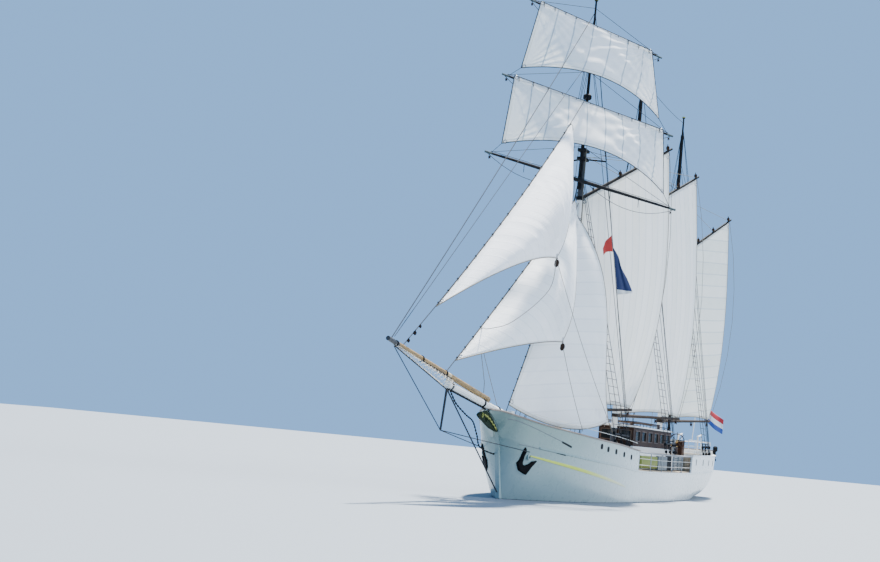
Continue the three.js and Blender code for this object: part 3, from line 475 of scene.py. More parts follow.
# %% Sailcloth
TABLING, SEAM_WIDTH = 0.16, 0.03
PATCH_REACH = (1.25, 0.8)
GAFF_STRIP, MIZZEN_STRIP, SQUARE_STRIP, STAY_STRIP = 0.62, 0.85, 1.15, 0.7  # widths of one cloth
SAILCLOTHS = [  # name, bright tone, dull tone, width of a cloth, how dark its seams are
    # Painted highlight: the outer jib's cloth is whiter than the others and its seams are nearly hidden,
    # standing in for the sun on it.
    ("sunlit_sailcloth", (0.98, 0.97, 0.95), (0.95, 0.95, 0.94), GAFF_STRIP, 0.12),
    ("square_sailcloth", (0.86, 0.86, 0.82), (0.77, 0.79, 0.77), SQUARE_STRIP, 0.85),
    ("gaff_sailcloth", (0.84, 0.83, 0.78), (0.76, 0.76, 0.71), GAFF_STRIP, 0.28),
    ("mizzen_sailcloth", (0.76, 0.77, 0.71), (0.67, 0.69, 0.64), MIZZEN_STRIP, 0.45),
    ("staysail_cloth", (0.85, 0.87, 0.86), (0.76, 0.79, 0.79), STAY_STRIP, 0.2),
]


def make_sailcloth(name, tone, shade, panel, seam_line):
    material, shader, place = new_finish(name, 0.85)
    shader.inputs["Subsurface Weight"].default_value = 0.9
    shader.inputs["Subsurface Radius"].default_value = (1.0, 1.0, 0.95)
    shader.inputs["Subsurface Scale"].default_value = 0.012
    shader.inputs["Sheen Weight"].default_value = 0.15
    across = uv_parts(material, "cloth")[0] * (1 / panel)
    edge, corner = uv_parts(material, "hem")[:2]
    half_seam = SEAM_WIDTH / panel
    seam = across.fraction().off(0.5).smooth(0.5 - half_seam * 1.6, 0.5 - half_seam)
    tabling = edge < TABLING
    patch = (corner < PATCH_REACH[0]) * 0.5 + (corner < PATCH_REACH[1]) * 0.5
    tint = ((across.floor() * 0.618).fraction() * 0.5 + place.noise(0.9, 4, 0.6) * 0.7).smooth(0.25, 0.95)
    cloth = blend(tint, shade, tone)
    cloth = blend(seam * seam_line, cloth, (0.33, 0.39, 0.44))
    cloth = blend(tabling * 0.22 + patch * 0.2, cloth, [0.86 * v for v in shade])
    cloth = blend(place.noise(1.9, 5, 0.65).smooth(0.55, 0.85) * 0.16, cloth, (0.50, 0.48, 0.40))
    cloth = blend((edge.off(TABLING) < 0.022) * 0.45, cloth, (0.42, 0.42, 0.38))
    weave = place.noise(150, 2, 0.5)
    raised = seam + tabling * 0.8 + patch * 0.8 + weave * 0.25 + place.noise(3.2, 4, 0.55) * 3.0
    feed(shader, cloth, None, raised, 0.004, 0.55)
    return material


sailcloths = [make_sailcloth(*row) for row in SAILCLOTHS]
sunlit_cloth, square_cloth, gaff_cloth, mizzen_cloth, stay_cloth = sailcloths
print("sailcloths:", len(sailcloths))

# %% [markdown]
# Each finish belongs to a material slot of the CAD record. A finish nearly always goes with the same
# slot, so a piece names one only where it differs.

# %% Which slot a finish belongs to
SLOTS = {
    "white_paint": (hull_paint, white_paint),
    "black_paint": (black_paint, grey_paint, iron, glass),
    "varnished_wood": (mahogany, boom_wood, trim_wood),
    "teak": (teak, cap_wood),
    "wire_rope": (wire, hemp, tarred, white_rope, galvanised),
    "bronze": (bronze, gilt),
    "bunting": (stripe_paint, leaf_green, canvas_paint),
}
slot_of = {finish.name: slot for slot, finishes in SLOTS.items() for finish in finishes}

# %% [markdown]
# ## Making meshes
# Shape collects closed forms that together make one piece: chamfered blocks, bars along a path,
# turned forms and lofts. Faces may come out either way round; `piece` turns them outwards.

# %% Closed forms
class Shape:
    def __init__(self):
        self.points = []
        self.faces = []

    def add(self, points, faces):
        first = len(self.points)
        self.points.extend(tuple(p) for p in points)
        self.faces.extend(tuple(first + i for i in face) for face in faces)
        return self

    def loft(self, rings):
        """Skins rings that have the same count of points, and closes both ends."""
        count = len(rings[0])
        faces = []
        for r in range(len(rings) - 1):
            for i in range(count):
                j = (i + 1) % count
                faces.append((r * count + i, r * count + j, (r + 1) * count + j, (r + 1) * count + i))
        last = (len(rings) - 1) * count
        faces.append(tuple(range(count)))
        faces.append(tuple(last + i for i in range(count)))
        return self.add([p for ring in rings for p in ring], faces)

    def block(self, xs, ys, zs, chamfer=0.02):
        """A box with its edges planed off."""
        ends = [xs, ys, zs]
        points, index = [], {}
        for corner in np.ndindex(2, 2, 2):
            sharp = [ends[a][corner[a]] for a in range(3)]
            planed = [sharp[a] + (1 - 2 * corner[a]) * chamfer for a in range(3)]
            for axis in range(3):
                index[(*corner, axis)] = len(points)
                points.append([sharp[a] if a == axis else planed[a] for a in range(3)])
        faces = [tuple(index[(*corner, axis)] for axis in range(3)) for corner in np.ndindex(2, 2, 2)]
        for axis in range(3):
            u, v = [a for a in range(3) if a != axis]
            for side in (0, 1):
                ring = []
                for a, b in ((0, 0), (1, 0), (1, 1), (0, 1)):
                    corner = [0, 0, 0]
                    corner[axis], corner[u], corner[v] = side, a, b
                    ring.append(index[(*corner, axis)])
                faces.append(tuple(ring))
            for a, b in np.ndindex(2, 2):
                low, high = [0, 0, 0], [0, 0, 0]
                low[u] = high[u] = a
                low[v] = high[v] = b
                high[axis] = 1
                faces.append((index[(*low, u)], index[(*high, u)], index[(*high, v)], index[(*low, v)]))
        return self.add(points, faces)

    def bar(self, path, radii, sides=12):
        """A round bar along a path, with one radius or one at each point."""
        path = [Vector(p) for p in path]
        radii = [radii] * len(path) if isinstance(radii, (int, float)) else radii
        across = directions(path)[0].orthogonal().normalized()
        rings = []
        for p, axis, radius in zip(path, directions(path), radii):
            across = (across - axis * across.dot(axis)).normalized()
            upward = axis.cross(across)
            rings.append([p + (across * math.cos(a) + upward * math.sin(a)) * radius for a in angles(sides)])
        return self.loft(rings)

    def turned(self, base, axis, profile, sides=20):
        """A form turned on a lathe: pairs of distance along the axis and radius."""
        axis = Vector(axis).normalized()
        return self.bar([Vector(base) + axis * d for d, r in profile], [r for d, r in profile], sides)

    def prism(self, outline, low, high):
        """A plate in the plane of x and z, from y = low to y = high."""
        return self.loft([[(x, y, z) for x, z in outline] for y in (low, high)])


def directions(path):
    """Which way a path runs at each of its points."""
    last = len(path) - 1
    return [(path[min(i + 1, last)] - path[max(i - 1, 0)]).normalized() for i in range(len(path))]


# %% Turning a shape into a finished piece
made_pieces = []


def enlist(made, body, slot):
    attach(made, body)
    made_pieces.append(made)
    return made


def form_mesh(name, shape, crease, weld=True):
    mesh = bpy.data.meshes.new(name)
    mesh.from_pydata([Vector(p) * SCALE for p in shape.points], [], shape.faces)
    form = bmesh.new()
    form.from_mesh(mesh)
    if weld:
        bmesh.ops.remove_doubles(form, verts=form.verts, dist=1e-6)
    bmesh.ops.recalc_face_normals(form, faces=form.faces)
    form.to_mesh(mesh)
    form.free()
    mesh.shade_smooth()
    mesh.set_sharp_from_angle(angle=math.radians(crease))
    return mesh


def piece(name, shape, finish, body="ship", slot=None, crease=35, replaces=(), bevel=0.0):
    mesh = form_mesh(name, shape, crease)
    mesh.materials.append(finish)
    made = new_object(name, mesh)
    if bevel:
        edge = made.modifiers.new("edges", "BEVEL")
        edge.width = bevel * SCALE
        edge.segments = 2
        edge.limit_method = "ANGLE"
    enlist(made, body, slot or slot_of[finish.name])
    if replaces:
        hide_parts(*replaces)
    return made


# %% [markdown]
# ## The hull
# Every station gives the keel's height, half-breadths at five heights, and the rail. Catmull-Rom
# rows between the stations turn the CAD's flat facets into one fair curve, which is what a
# shipbuilder's batten does.

# %% Stations and fair rows between them
HULL_STATIONS = [  # x, keel's z, five half-breadths from the keel to the deck, rail's half-breadth and z
    [18.90, 3.00, 0.13, 0.15, 0.18, 0.21, 0.24, 1.04, 4.14],
    [18.55, 1.95, 0.20, 0.34, 0.48, 0.62, 0.74, 1.20, 4.08],
    [18.00, 0.15, 0.28, 0.52, 0.76, 0.98, 1.18, 1.42, 3.99],
    [17.00, -1.10, 0.46, 0.84, 1.14, 1.40, 1.60, 1.78, 3.85],
    [15.50, -1.90, 0.62, 1.30, 1.68, 1.98, 2.16, 2.25, 3.70],
    [13.50, -2.35, 1.05, 1.85, 2.26, 2.50, 2.62, 2.68, 3.54],
    [11.00, -2.55, 1.60, 2.40, 2.76, 2.92, 2.98, 3.01, 3.37],
    [8.00, -2.62, 2.05, 2.82, 3.08, 3.20, 3.24, 3.26, 3.21],
    [4.50, -2.66, 2.28, 3.03, 3.23, 3.31, 3.33, 3.34, 2.98],
    [0.00, -2.68, 2.30, 3.08, 3.27, 3.33, 3.35, 3.36, 2.92],
    [-5.00, -2.64, 2.00, 2.93, 3.20, 3.29, 3.32, 3.34, 2.92],
    [-9.00, -2.40, 1.50, 2.66, 3.06, 3.20, 3.26, 3.29, 2.95],
    [-12.00, -1.80, 1.10, 2.26, 2.86, 3.06, 3.14, 3.19, 2.99],
    [-14.50, -1.15, 0.95, 2.10, 2.72, 2.94, 3.04, 3.10, 3.03],
    [-16.40, -0.75, 1.25, 2.15, 2.60, 2.79, 2.90, 2.97, 3.06],
    [-18.20, -0.25, 1.35, 2.05, 2.38, 2.55, 2.66, 2.76, 3.09],
    [-19.70, 0.30, 1.28, 1.82, 2.08, 2.22, 2.32, 2.42, 3.11],
    [-20.60, 0.78, 0.98, 1.42, 1.66, 1.79, 1.88, 1.98, 3.12],
    [-21.20, 1.30, 0.50, 0.80, 0.98, 1.08, 1.16, 1.24, 3.13],
]
RAIL_HALF, RAIL_Z = 7, 8
BOW_RAIL = [[20.62, 0.19, 4.33, 4.24], [20.00, 0.50, 4.32, 3.98], [19.40, 0.82, 4.22, 3.62]]
BULWARK, DECK_PLANKS, KEEL_HALF = 1.05, 0.06, 0.11
RAISED_DECK, WAIST_FORE, WAIST_AFT = 2.93, 4.5, -9.0


def fair(rows, steps):
    """Catmull-Rom rows between the given ones."""
    rows = np.array(rows, float)
    out = []
    for i in range(len(rows) - 1):
        p, a, b, n = rows[max(i - 1, 0)], rows[i], rows[i + 1], rows[min(i + 2, len(rows) - 1)]
        for t in np.arange(steps) / steps:
            square, cube = 2 * p - 5 * a + 4 * b - n, 3 * a - p - 3 * b + n
            out.append(0.5 * (2 * a + (b - p) * t + square * t**2 + cube * t**3))
    return np.array([*out, rows[-1]])


def hull_top(row):
    return row[RAIL_Z] - BULWARK - DECK_PLANKS


hull_rows = fair(HULL_STATIONS, 4)
rail_rows = fair(  # x, half-breadth at the bulwark's foot and head, z of its foot and head
    [[x, KEEL_HALF + 0.05, half, foot, height] for x, half, height, foot in BOW_RAIL]
    + [[s[0], s[6], s[RAIL_HALF], hull_top(s), s[RAIL_Z]] for s in HULL_STATIONS],
    4,
)
print("hull rows:", len(hull_rows), "rail rows:", len(rail_rows))


# %% Where the side of the ship is
def row_at(rows, x):
    order = rows[:, 0].argsort()
    return [float(np.interp(x, rows[order, 0], rows[order, i])) for i in range(rows.shape[1])]


def section(row):
    heights = [row[1] + (hull_top(row) - row[1]) * i / 5 for i in range(6)]
    return fair(list(zip([KEEL_HALF * 0.6, *row[2:7]], heights)), 4)


def side_at(x, z, side=1, out=0.0):
    """The point of the ship's outer skin at a place along and up, moved out a little."""
    foot, head, low, high = row_at(rail_rows, x)[1:]
    if z >= low:
        half = lerp(foot, head, min(1, (z - low) / (high - low)))
    else:
        curve = section(row_at(hull_rows, x))
        half = float(np.interp(z, curve[:, 1], curve[:, 0]))
    return at(x, side * (half + out), z)


def deck_height(x):
    return row_at(hull_rows, x)[RAIL_Z] - BULWARK


# %% [markdown]
# The hull's skin is a loft through those sections. The keel, stem and stern post are thick plates
# with rounded edges, set into it, with an open aperture where the propeller turns.

# %% Hull skin and backbone
BACKBONE = {
    "stem": [
        (20.75, 4.34), (20.3, 4.10), (19.9, 3.92), (19.5, 3.66), (19.12, 3.35), (18.9, 2.85), (18.78, 2.2),
        (18.58, 1.4), (18.35, 0.6), (18.22, 0.0), (18.05, -0.6), (17.74, -1.2), (17.3, -1.7), (16.7, -2.12),
        (16.0, -2.4), (15.0, -2.68), (14.0, -2.8), (10, -2.8), (10, 0), (14.0, 0.0), (17.6, 0.0), (18.5, 2.7),
        (18.75, 3.2), (19.6, 3.95), (20.75, 4.30),
    ],
    "keel": [(10, -2.8), (-14.95, -2.8), (-14.95, 0.1), (-14, 0.2), (10, 0)],
    "sole": [(-14.95, -2.8), (-16.9, -2.8), (-16.9, -2.55), (-14.95, -2.55)],
    "rudder post": [(-15.95, -2.55), (-16.2, -2.55), (-16.2, -0.4), (-15.95, -0.35)],
    "arch": [(-14.95, -0.7), (-15.95, -0.7), (-15.95, -0.35), (-14.95, 0.0)],
}


def make_hull():
    rings = []
    for row in hull_rows:
        curve = section(row)
        starboard = [at(row[0], -half, z) for half, z in curve[::-1]]
        rings.append(starboard + [at(row[0], half, z) for half, z in curve])
    piece("hull_plating", Shape().loft(rings), hull_paint, replaces=["hull"], crease=50)
    backbone = Shape()
    for outline in BACKBONE.values():
        backbone.prism(outline, -KEEL_HALF, KEEL_HALF)
    piece("stem_and_keel", backbone, hull_paint, bevel=0.03)


make_hull()
print("hull plating:", len(made_pieces[0].data.polygons), "faces")

# %% [markdown]
# Bulwarks stand on the hull's edge and carry a flat cap rail. The fore bulwarks run out to the
# stem head, and the after one goes round the stern. The waist between them is open.

# %% Bulwarks and cap rails
def bulwark_rings(rows, side, wall=0.08):
    rings = []
    for x, foot, head, low, high in rows:
        inner_foot, inner_head = [max(half - wall, KEEL_HALF + 0.01) for half in (foot, head)]
        outer = [(foot, low), (lerp(foot, head, 0.5), lerp(low, high, 0.5)), (head, high)]
        profile = [*outer, (inner_head, high), (inner_foot, low)]
        rings.append([at(x, side * half, z) for half, z in profile])
    return rings


def cap_rings(rows, side, outside=0.055, inside=0.16, thick=0.07):
    rings = []
    for x, _, head, _, high in rows:
        y0, y1 = head + outside, max(head - inside, 0.02)
        profile = [
            (y0 - 0.02, -0.012), (y0, 0.01), (y0, thick - 0.02), (y0 - 0.02, thick),
            (y1 + 0.02, thick), (y1, thick - 0.02), (y1, 0.01), (y1 + 0.02, -0.012),
        ]
        rings.append([at(x, side * y, high + z) for y, z in profile])
    return rings


fore_rows = [row for row in rail_rows if row[0] >= WAIST_FORE - 0.001]
aft_rows = [row for row in rail_rows if row[0] <= WAIST_AFT + 0.001]
stern, stern_cap = Shape(), Shape()
for name, side in SIDES.items():
    plating = Shape().loft(bulwark_rings(fore_rows, side))
    piece(f"bulwark_fore_{name}_plating", plating, hull_paint, replaces=[f"bulwark_fore_{name}"])
    piece(f"cap_rail_fore_{name}", Shape().loft(cap_rings(fore_rows, side)), cap_wood)
    stern.loft(bulwark_rings(aft_rows, side))
    stern_cap.loft(cap_rings(aft_rows, side))
low, high = aft_rows[-1][3:]
stern.block((-21.28, -21.19), (-1.24, 1.24), (low, high), 0.02)
piece("bulwark_aft_plating", stern, hull_paint, replaces=["bulwark_aft"])
stern_cap.block((-21.33, -21.1), (-1.28, 1.28), (high - 0.01, high + 0.07), 0.02)
piece("cap_rail_aft", stern_cap, white_paint)

# %% [markdown]
# Small things on the hull's side: the yellow-green stripe, the two shallow knuckle lines below the
# bow's sheer with a slot at the end of each, the freeing ports, and a rubbing strake.

# %% Lines, stripe and ports on the side
STRIPE_LINE = [(17.41, 2.26), (15.16, 1.97), (11.98, 1.60), (8.14, 1.12), (6.62, 0.90)]
KNUCKLE_LINES = [
    [(19.3, 3.98), (18.75, 3.93), (16.85, 3.47), (14.47, 2.88)],
    [(18.28, 2.8), (16.93, 2.65), (14.92, 2.45)],
]
SLOT_LINES = [[(15.41, 3.10), (14.47, 2.88)], [(15.72, 2.55), (14.92, 2.45)]]
FORE_PORTS = [(10.96, 3.05), (10.03, 2.93), (8.82, 2.84), (7.47, 2.72), (6.1, 2.6)]
AFT_PORTS = [(-10.37, 2.56), (-12.83, 2.56), (-14.95, 2.56), (-17.0, 2.56)]
STRIPE_WIDTH, SLOT_WIDTH = 0.17, 0.10
STRAKE_FORE, STRAKE_AFT, STRAKE_UNDER_DECK, STRAKE_WIDTH = 17.2, -21.1, 0.10, 0.10


def along_side(places, side, out, steps=6):
    return [side_at(x, z, side, out) for x, z in fair(places, steps)]


def flat_band(shape, path, widths, thick=0.012):
    """A low band along a path on the side, as wide as its widths say."""
    rings = []
    for p, ahead, width in zip(path, directions(path), widths):
        outward = at(0, math.copysign(1, p.y), 0)
        half = ahead.cross(outward).normalized() * width / 2
        face = [p - half, p - half * 0.8 + outward * thick, p + half * 0.8 + outward * thick, p + half]
        rings.append([*face, p + half - outward * 0.03, p - half - outward * 0.03])
    shape.loft(rings)


def port_plate(shape, x, z, side, wide, high, thick=0.012):
    """A rounded opening drawn as a thin plate that follows the side; painted black, it stands in for the
    shade in the hole.
    """
    rim = []
    for a in angles(16):
        u, w = [math.copysign(abs(v) ** 0.6, v) for v in (math.cos(a), math.sin(a))]
        rim.append((x + u * wide / 2, z + w * high / 2))
    shape.loft([[side_at(u, w, side, out) for u, w in rim] for out in (-0.03, thick)])


stripe, knuckle_shade_bars, ports, strake = Shape(), Shape(), Shape(), Shape()
for side in SIDES.values():
    path = along_side(STRIPE_LINE, side, 0.004)
    shares = [i / (len(path) - 1) for i in range(len(path))]
    narrowing = [math.sin(math.pi * (0.06 + 0.93 * t)) ** 0.7 for t in shares]
    flat_band(stripe, path, [STRIPE_WIDTH * share + 0.01 for share in narrowing])
    # Painted shade: each knuckle is drawn as a dark grey bar, standing in for the shade along its crease.
    for line in KNUCKLE_LINES:
        knuckle_shade_bars.bar(along_side(line, side, -0.004), 0.022, 6)
    # Painted shade: the slots and freeing ports are black plates on the side, standing in for the shade in
    # their openings.
    for line in SLOT_LINES:
        path = along_side(line, side, 0.006)
        flat_band(ports, path, [SLOT_WIDTH] * len(path))
    for x, z in FORE_PORTS:
        port_plate(ports, x, z, side, 0.30, 0.30)
    for x, z in AFT_PORTS:
        port_plate(ports, x, z, side, 0.16, 0.42)
    rows = [row for row in hull_rows if STRAKE_FORE > row[0] > STRAKE_AFT]
    path = [side_at(row[0], row[RAIL_Z] - BULWARK - STRAKE_UNDER_DECK, side, 0.004) for row in rows]
    flat_band(strake, path, [STRAKE_WIDTH] * len(path), 0.035)
piece("hull_stripe", stripe, stripe_paint)
piece("bow_knuckle_lines", knuckle_shade_bars, grey_paint)
piece("freeing_ports", ports, black_paint)
piece("rubbing_strake", strake, hull_paint)

# %% [markdown]
# ## Masts and sails
# The masts rake aft by 2.4 degrees. The next functions say where a mast, a yard, a boom or a gaff
# is, with the same formulas as the CAD, so that cloth and ropes meet the spars.

# %% Spar places
MAST_RAKE = math.tan(math.radians(2.4))
MAST_X = {"fore": 9.8, "main": -1.0, "mizzen": -12.1}
MAST_HEEL = {"fore": deck_height(9.7), "main": 2.94, "mizzen": 2.94}
DOUBLING = {"fore": (17.8, 19.9), "main": (19.8, 21.8), "mizzen": (20.0, 21.9)}  # topmast's heel, mast's cap
TRUCK = {"fore": 28.8, "main": 27.4, "mizzen": 27.2}
TOPMAST_OFFSET = 0.34
BRACE = math.radians(42)
YARD_AHEAD = 0.38
YARDS = {  # z, half length, cant in degrees, radius
    "lower": (17.9, 6.0, -8, 0.12),
    "middle": (22.35, 5.45, -10, 0.11),
    "upper": (26.95, 4.3, -13, 0.095),
}
BOOMS = {  # z at the mast, length, swing to port and rise in degrees
    "fore": (4.9, 9.2, 9.5, 3.4),
    "main": (5.08, 9.1, 12.0, 2.0),
    "mizzen": (5.2, 9.0, 9.5, 3.0),
}
GAFFS = {  # the same four
    "fore": (17.0, 8.9, 25.5, 30.2),
    "main": (18.0, 9.0, 16.2, 27.3),
    "mizzen": (16.7, 8.0, 21.8, 31.2),
}
BOOM_RADIUS, GAFF_RADIUS, CLOTH_OFF_SPAR = 0.12, 0.10, 0.0028


def mast_point(mast, z, ahead=0.0):
    return at(MAST_X[mast] - MAST_RAKE * z + ahead, 0, z)


def mast_radius(mast, z):
    heel, cap = MAST_HEEL[mast], DOUBLING[mast][1]
    return 0.19 * lerp(1, 0.86, (z - heel) / (cap - heel))


def topmast_radius(mast, z):
    heel = DOUBLING[mast][0] - 0.3
    return lerp(0.12, 0.055, (z - heel) / (TRUCK[mast] - 0.05 - heel))


def yard_point(z, across, ahead=YARD_AHEAD, cant=0.0):
    x = ahead * math.cos(BRACE) - across * math.sin(BRACE)
    y = ahead * math.sin(BRACE) + across * math.cos(BRACE)
    return mast_point("fore", z, TOPMAST_OFFSET) + at(x, y, across * math.tan(math.radians(cant)))


def on_spar(spars, mast, distance):
    """A point on the axis of a boom or a gaff."""
    z, _, swing, rise = spars[mast]
    turn, climb = math.radians(swing), math.radians(rise)
    flat = distance * math.cos(climb)
    return mast_point(mast, z) + at(-flat * math.cos(turn), flat * math.sin(turn), distance * math.sin(climb))


def to_skin(spars, mast, distance, radius):
    """How far a spar's top or underside is from its axis, straight up or down."""
    _, length, _, rise = spars[mast]
    return radius * lerp(1, 0.7, distance / length) / math.cos(math.radians(rise)) + CLOTH_OFF_SPAR


def on_boom(mast, distance):
    return on_spar(BOOMS, mast, distance) + at(0, 0, to_skin(BOOMS, mast, distance, BOOM_RADIUS))


def on_gaff(mast, distance):
    return on_spar(GAFFS, mast, distance) - at(0, 0, to_skin(GAFFS, mast, distance, GAFF_RADIUS))


# %% [markdown]
# Each sail is a fine grid over the CAD's own curved surface, so it lies where its solid lies. Four
# things make it cloth: every sewn strip swells a little between its seams, creases run out from
# the loaded corners, soft folds lie across the middle, and the edges are held straight by their
# rope. A cloth simulation would lose the fitted cut and its seams, so the wind's work is done by
# those formulas. The sheet is then thickened to 4 mm, and its flat size is worked out.

# %% Cloth over a curved surface
SAIL_COLUMNS, SAIL_ROWS = 72, 56
SAIL_THICK, FLAG_THICK = 0.004, 0.003  # of the model
STRIP_SWELL, CREASE_DEPTH, FOLD_DEPTH = 0.016, 0.045, 0.016
CREASES_PER_TURN, CREASE_REACH, FOLDS = 34, 3.2, 4
CORNERS = ((0, 0), (0, -1), (-1, -1), (-1, 0))
CORNER_LOADS = (1.0, 1.3, 1.1, 0.8)


def cloth_points(surface, columns, rows):
    return np.array([[surface(i / columns, j / rows) for i in range(columns + 1)] for j in range(rows + 1)])


def unit_normals(p):
    across, up = np.gradient(p, axis=1), np.gradient(p, axis=0)
    n = np.cross(across, up)
    return n / np.maximum(np.linalg.norm(n, axis=2, keepdims=True), 1e-9)


def swell(p, strips, panel, seed):
    """How far each point of the cloth stands off its surface."""
    rows, columns = p.shape[:2]
    v, u = np.mgrid[0:1:rows * 1j, 0:1:columns * 1j]
    hold = np.clip(np.minimum.reduce([u, 1 - u, v, 1 - v]) * 14, 0, 1)
    off = STRIP_SWELL * np.abs(np.sin(np.pi * strips / panel)) ** 0.8 * hold
    rng = np.random.default_rng(seed)
    for corner, load in zip(CORNERS, CORNER_LOADS):
        away = p - p[corner]
        distance = np.linalg.norm(away, axis=2)
        angle = np.arctan2(away[:, :, 2], np.hypot(away[:, :, 0], away[:, :, 1]))
        wave = np.sin(angle * CREASES_PER_TURN + rng.uniform(0, 6))
        ripple = wave * np.exp(-distance / CREASE_REACH) * np.clip(distance, 0, 1)
        off = off + load * CREASE_DEPTH * ripple * hold
    for _ in range(FOLDS):
        a, b, phase = rng.uniform(1.2, 3.4), rng.uniform(0.8, 3.0), rng.uniform(0, 6)
        off = off + FOLD_DEPTH * np.sin(np.pi * (a * u + b * v) + phase) * hold
    return off


def cloth_object(name, p, layers, finish, thickness):
    """A grid of points as cloth with its UV maps, and the area of its mesh."""
    rows, columns = p.shape[0] - 1, p.shape[1] - 1
    cells = [j * (columns + 1) + i for j in range(rows) for i in range(columns)]
    mesh = bpy.data.meshes.new(name)
    faces = [(a, a + 1, a + columns + 2, a + columns + 1) for a in cells]
    mesh.from_pydata((p.reshape(-1, 3) * SCALE).tolist(), [], faces)
    loops = np.empty(len(mesh.loops), int)
    mesh.loops.foreach_get("vertex_index", loops)
    for layer, columns_of_uv in layers.items():
        pairs = np.stack([values.reshape(-1)[loops] for values in columns_of_uv], 1)
        mesh.uv_layers.new(name=layer).data.foreach_set("uv", pairs.reshape(-1).astype(np.float32))
    mesh.shade_smooth()
    mesh.materials.append(finish)
    made = new_object(name, mesh)
    thick = made.modifiers.new("cloth", "SOLIDIFY")
    thick.thickness = thickness
    thick.offset = 0
    return made, sum(f.area for f in mesh.polygons)


def make_sail(name, surface, strip_of, finish, panel, body, rests_on):
    p = cloth_points(surface, SAIL_COLUMNS, SAIL_ROWS)
    strips = strip_of(p)
    p = p + unit_normals(p) * swell(p, strips, panel, len(name + "_cloth"))[:, :, None]
    steps_across, steps_up = [np.linalg.norm(np.diff(p, axis=a), axis=2) for a in (1, 0)]
    width = np.concatenate([np.zeros((SAIL_ROWS + 1, 1)), np.cumsum(steps_across, 1)], 1)
    height = np.concatenate([np.zeros((1, SAIL_COLUMNS + 1)), np.cumsum(steps_up, 0)], 0)
    edge = np.minimum.reduce([width, width[:, -1:] - width, height, height[-1:] - height])
    corner = np.minimum.reduce([np.linalg.norm(p - p[place], axis=2) for place in CORNERS])
    layers = {"cloth": (strips, height), "hem": (edge, corner)}
    made, area = cloth_object(f"{name}_cloth", p, layers, finish, SAIL_THICK)
    tall = float(height[-1].mean()) * SCALE
    wide = max(float(width.mean(0)[-1]) * SCALE, area / tall)
    enlist(made, body, "sailcloth")
    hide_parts(name)
    flat_area = min(area, wide * tall * 0.999)
    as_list(rests_on)
    print(f"{name}: {wide:.2f} by {tall:.2f} m, {area:.2f} m2 of cloth")
    return p


# %% [markdown]
# The three gaff sails hang between a boom and a gaff. Their cloths run parallel to the leech, so
# a point's strip is its distance from the leech. The mizzen is cross-cut: its seams run level.

# %% Gaff sails
CUBIC_TOP = 6.75  # v * (1 - v) ** 2 is 1 / 6.75 at its highest


def four_sided(luff, clew, peak, belly, foot_arch=0.0, leech_arch=0.0, leech_sag=0.0, leech_full=0.0):
    """The CAD's sail surface: u runs from luff to leech and v from foot to head."""
    def surface(u, v):
        p = luff(v).lerp(clew.lerp(peak, v), u)
        p = p + belly * (4 * u * (1 - u) * math.sin(math.pi * min(1, 0.12 + 0.88 * v) ** 0.8))
        p.z += foot_arch * 4 * u * (1 - u) * (1 - v) ** 3
        p.x -= leech_arch * u**3 * CUBIC_TOP * v * (1 - v) ** 2
        p.y += leech_sag * u**2 * max(0.0, math.sin(math.pi * v**0.8))
        p.y += leech_full * u**2 * CUBIC_TOP * v**2 * (1 - v)
        return p
    return surface


def from_leech(p):
    return np.linalg.norm(p - p[:, -1:, :], axis=2)


def from_luff(p):
    return np.linalg.norm(p - p[:, :1, :], axis=2)


def up_leech(p):
    leech = p[-1, -1] - p[0, -1]
    return (p - p[0, -1]) @ (leech / np.linalg.norm(leech))


GAFF_SAILS = {  # name, belly, sag of the leech, cut, finish, width of a cloth
    "fore": ("foresail", 0.7, 1.0, from_leech, gaff_cloth, GAFF_STRIP),
    "main": ("mainsail", 0.7, 0.6, from_leech, gaff_cloth, GAFF_STRIP),
    "mizzen": ("mizzen_sail", 0.6, 0.5, up_leech, mizzen_cloth, MIZZEN_STRIP),
}
LUFF_FROM_MAST, CLEW_FROM_END = 0.35, 0.3
gaff_sails = {}
for mast, (name, belly, sag, cut, finish, panel) in GAFF_SAILS.items():
    def luff(v, mast=mast):
        return on_boom(mast, LUFF_FROM_MAST).lerp(on_gaff(mast, LUFF_FROM_MAST), v)

    clew = on_boom(mast, BOOMS[mast][1] - CLEW_FROM_END)
    peak = on_gaff(mast, GAFFS[mast][1] - CLEW_FROM_END)
    shape = four_sided(luff, clew, peak, at(0.1, 1, 0) * belly, foot_arch=0.25, leech_sag=sag)
    spars = [f"{mast}_boom", f"{mast}_gaff"]
    gaff_sails[mast] = make_sail(name, shape, cut, finish, panel, f"{mast}_rig", spars)

# %% [markdown]
# The headsails are hanked to their stays and sheeted to leeward. Their cloths run at right angles
# to the leech. The stays sag a little, as a quadratic curve through three points.

# %% Headsails
JIB_BOOM_HEEL, JIB_BOOM_TIP = at(20.6, 0, 4.82), at(32.25, 0, 6.70)
BOWSPRIT_HEEL, BOWSPRIT_CAP = at(17.6, 0, 4.12), at(25.7, 0, 5.235)


def spar_top(start, end, start_radius, end_radius, x, seat):
    """A seat on top of a spar that narrows from its start to its end."""
    t = (x - start.x) / (end.x - start.x)
    slope = math.atan2(end.z - start.z, end.x - start.x)
    return at(x, 0, lerp(start.z, end.z, t) + lerp(start_radius, end_radius, t) / math.cos(slope) + seat)


def on_jib_boom(x, seat):
    return spar_top(JIB_BOOM_HEEL, JIB_BOOM_TIP, 0.15, 0.1, x, seat)


def before_mast(z, seat):
    return mast_point("fore", z, mast_radius("fore", z) + seat)


def before_topmast(z, seat):
    return mast_point("fore", z, TOPMAST_OFFSET + topmast_radius("fore", z) + seat)


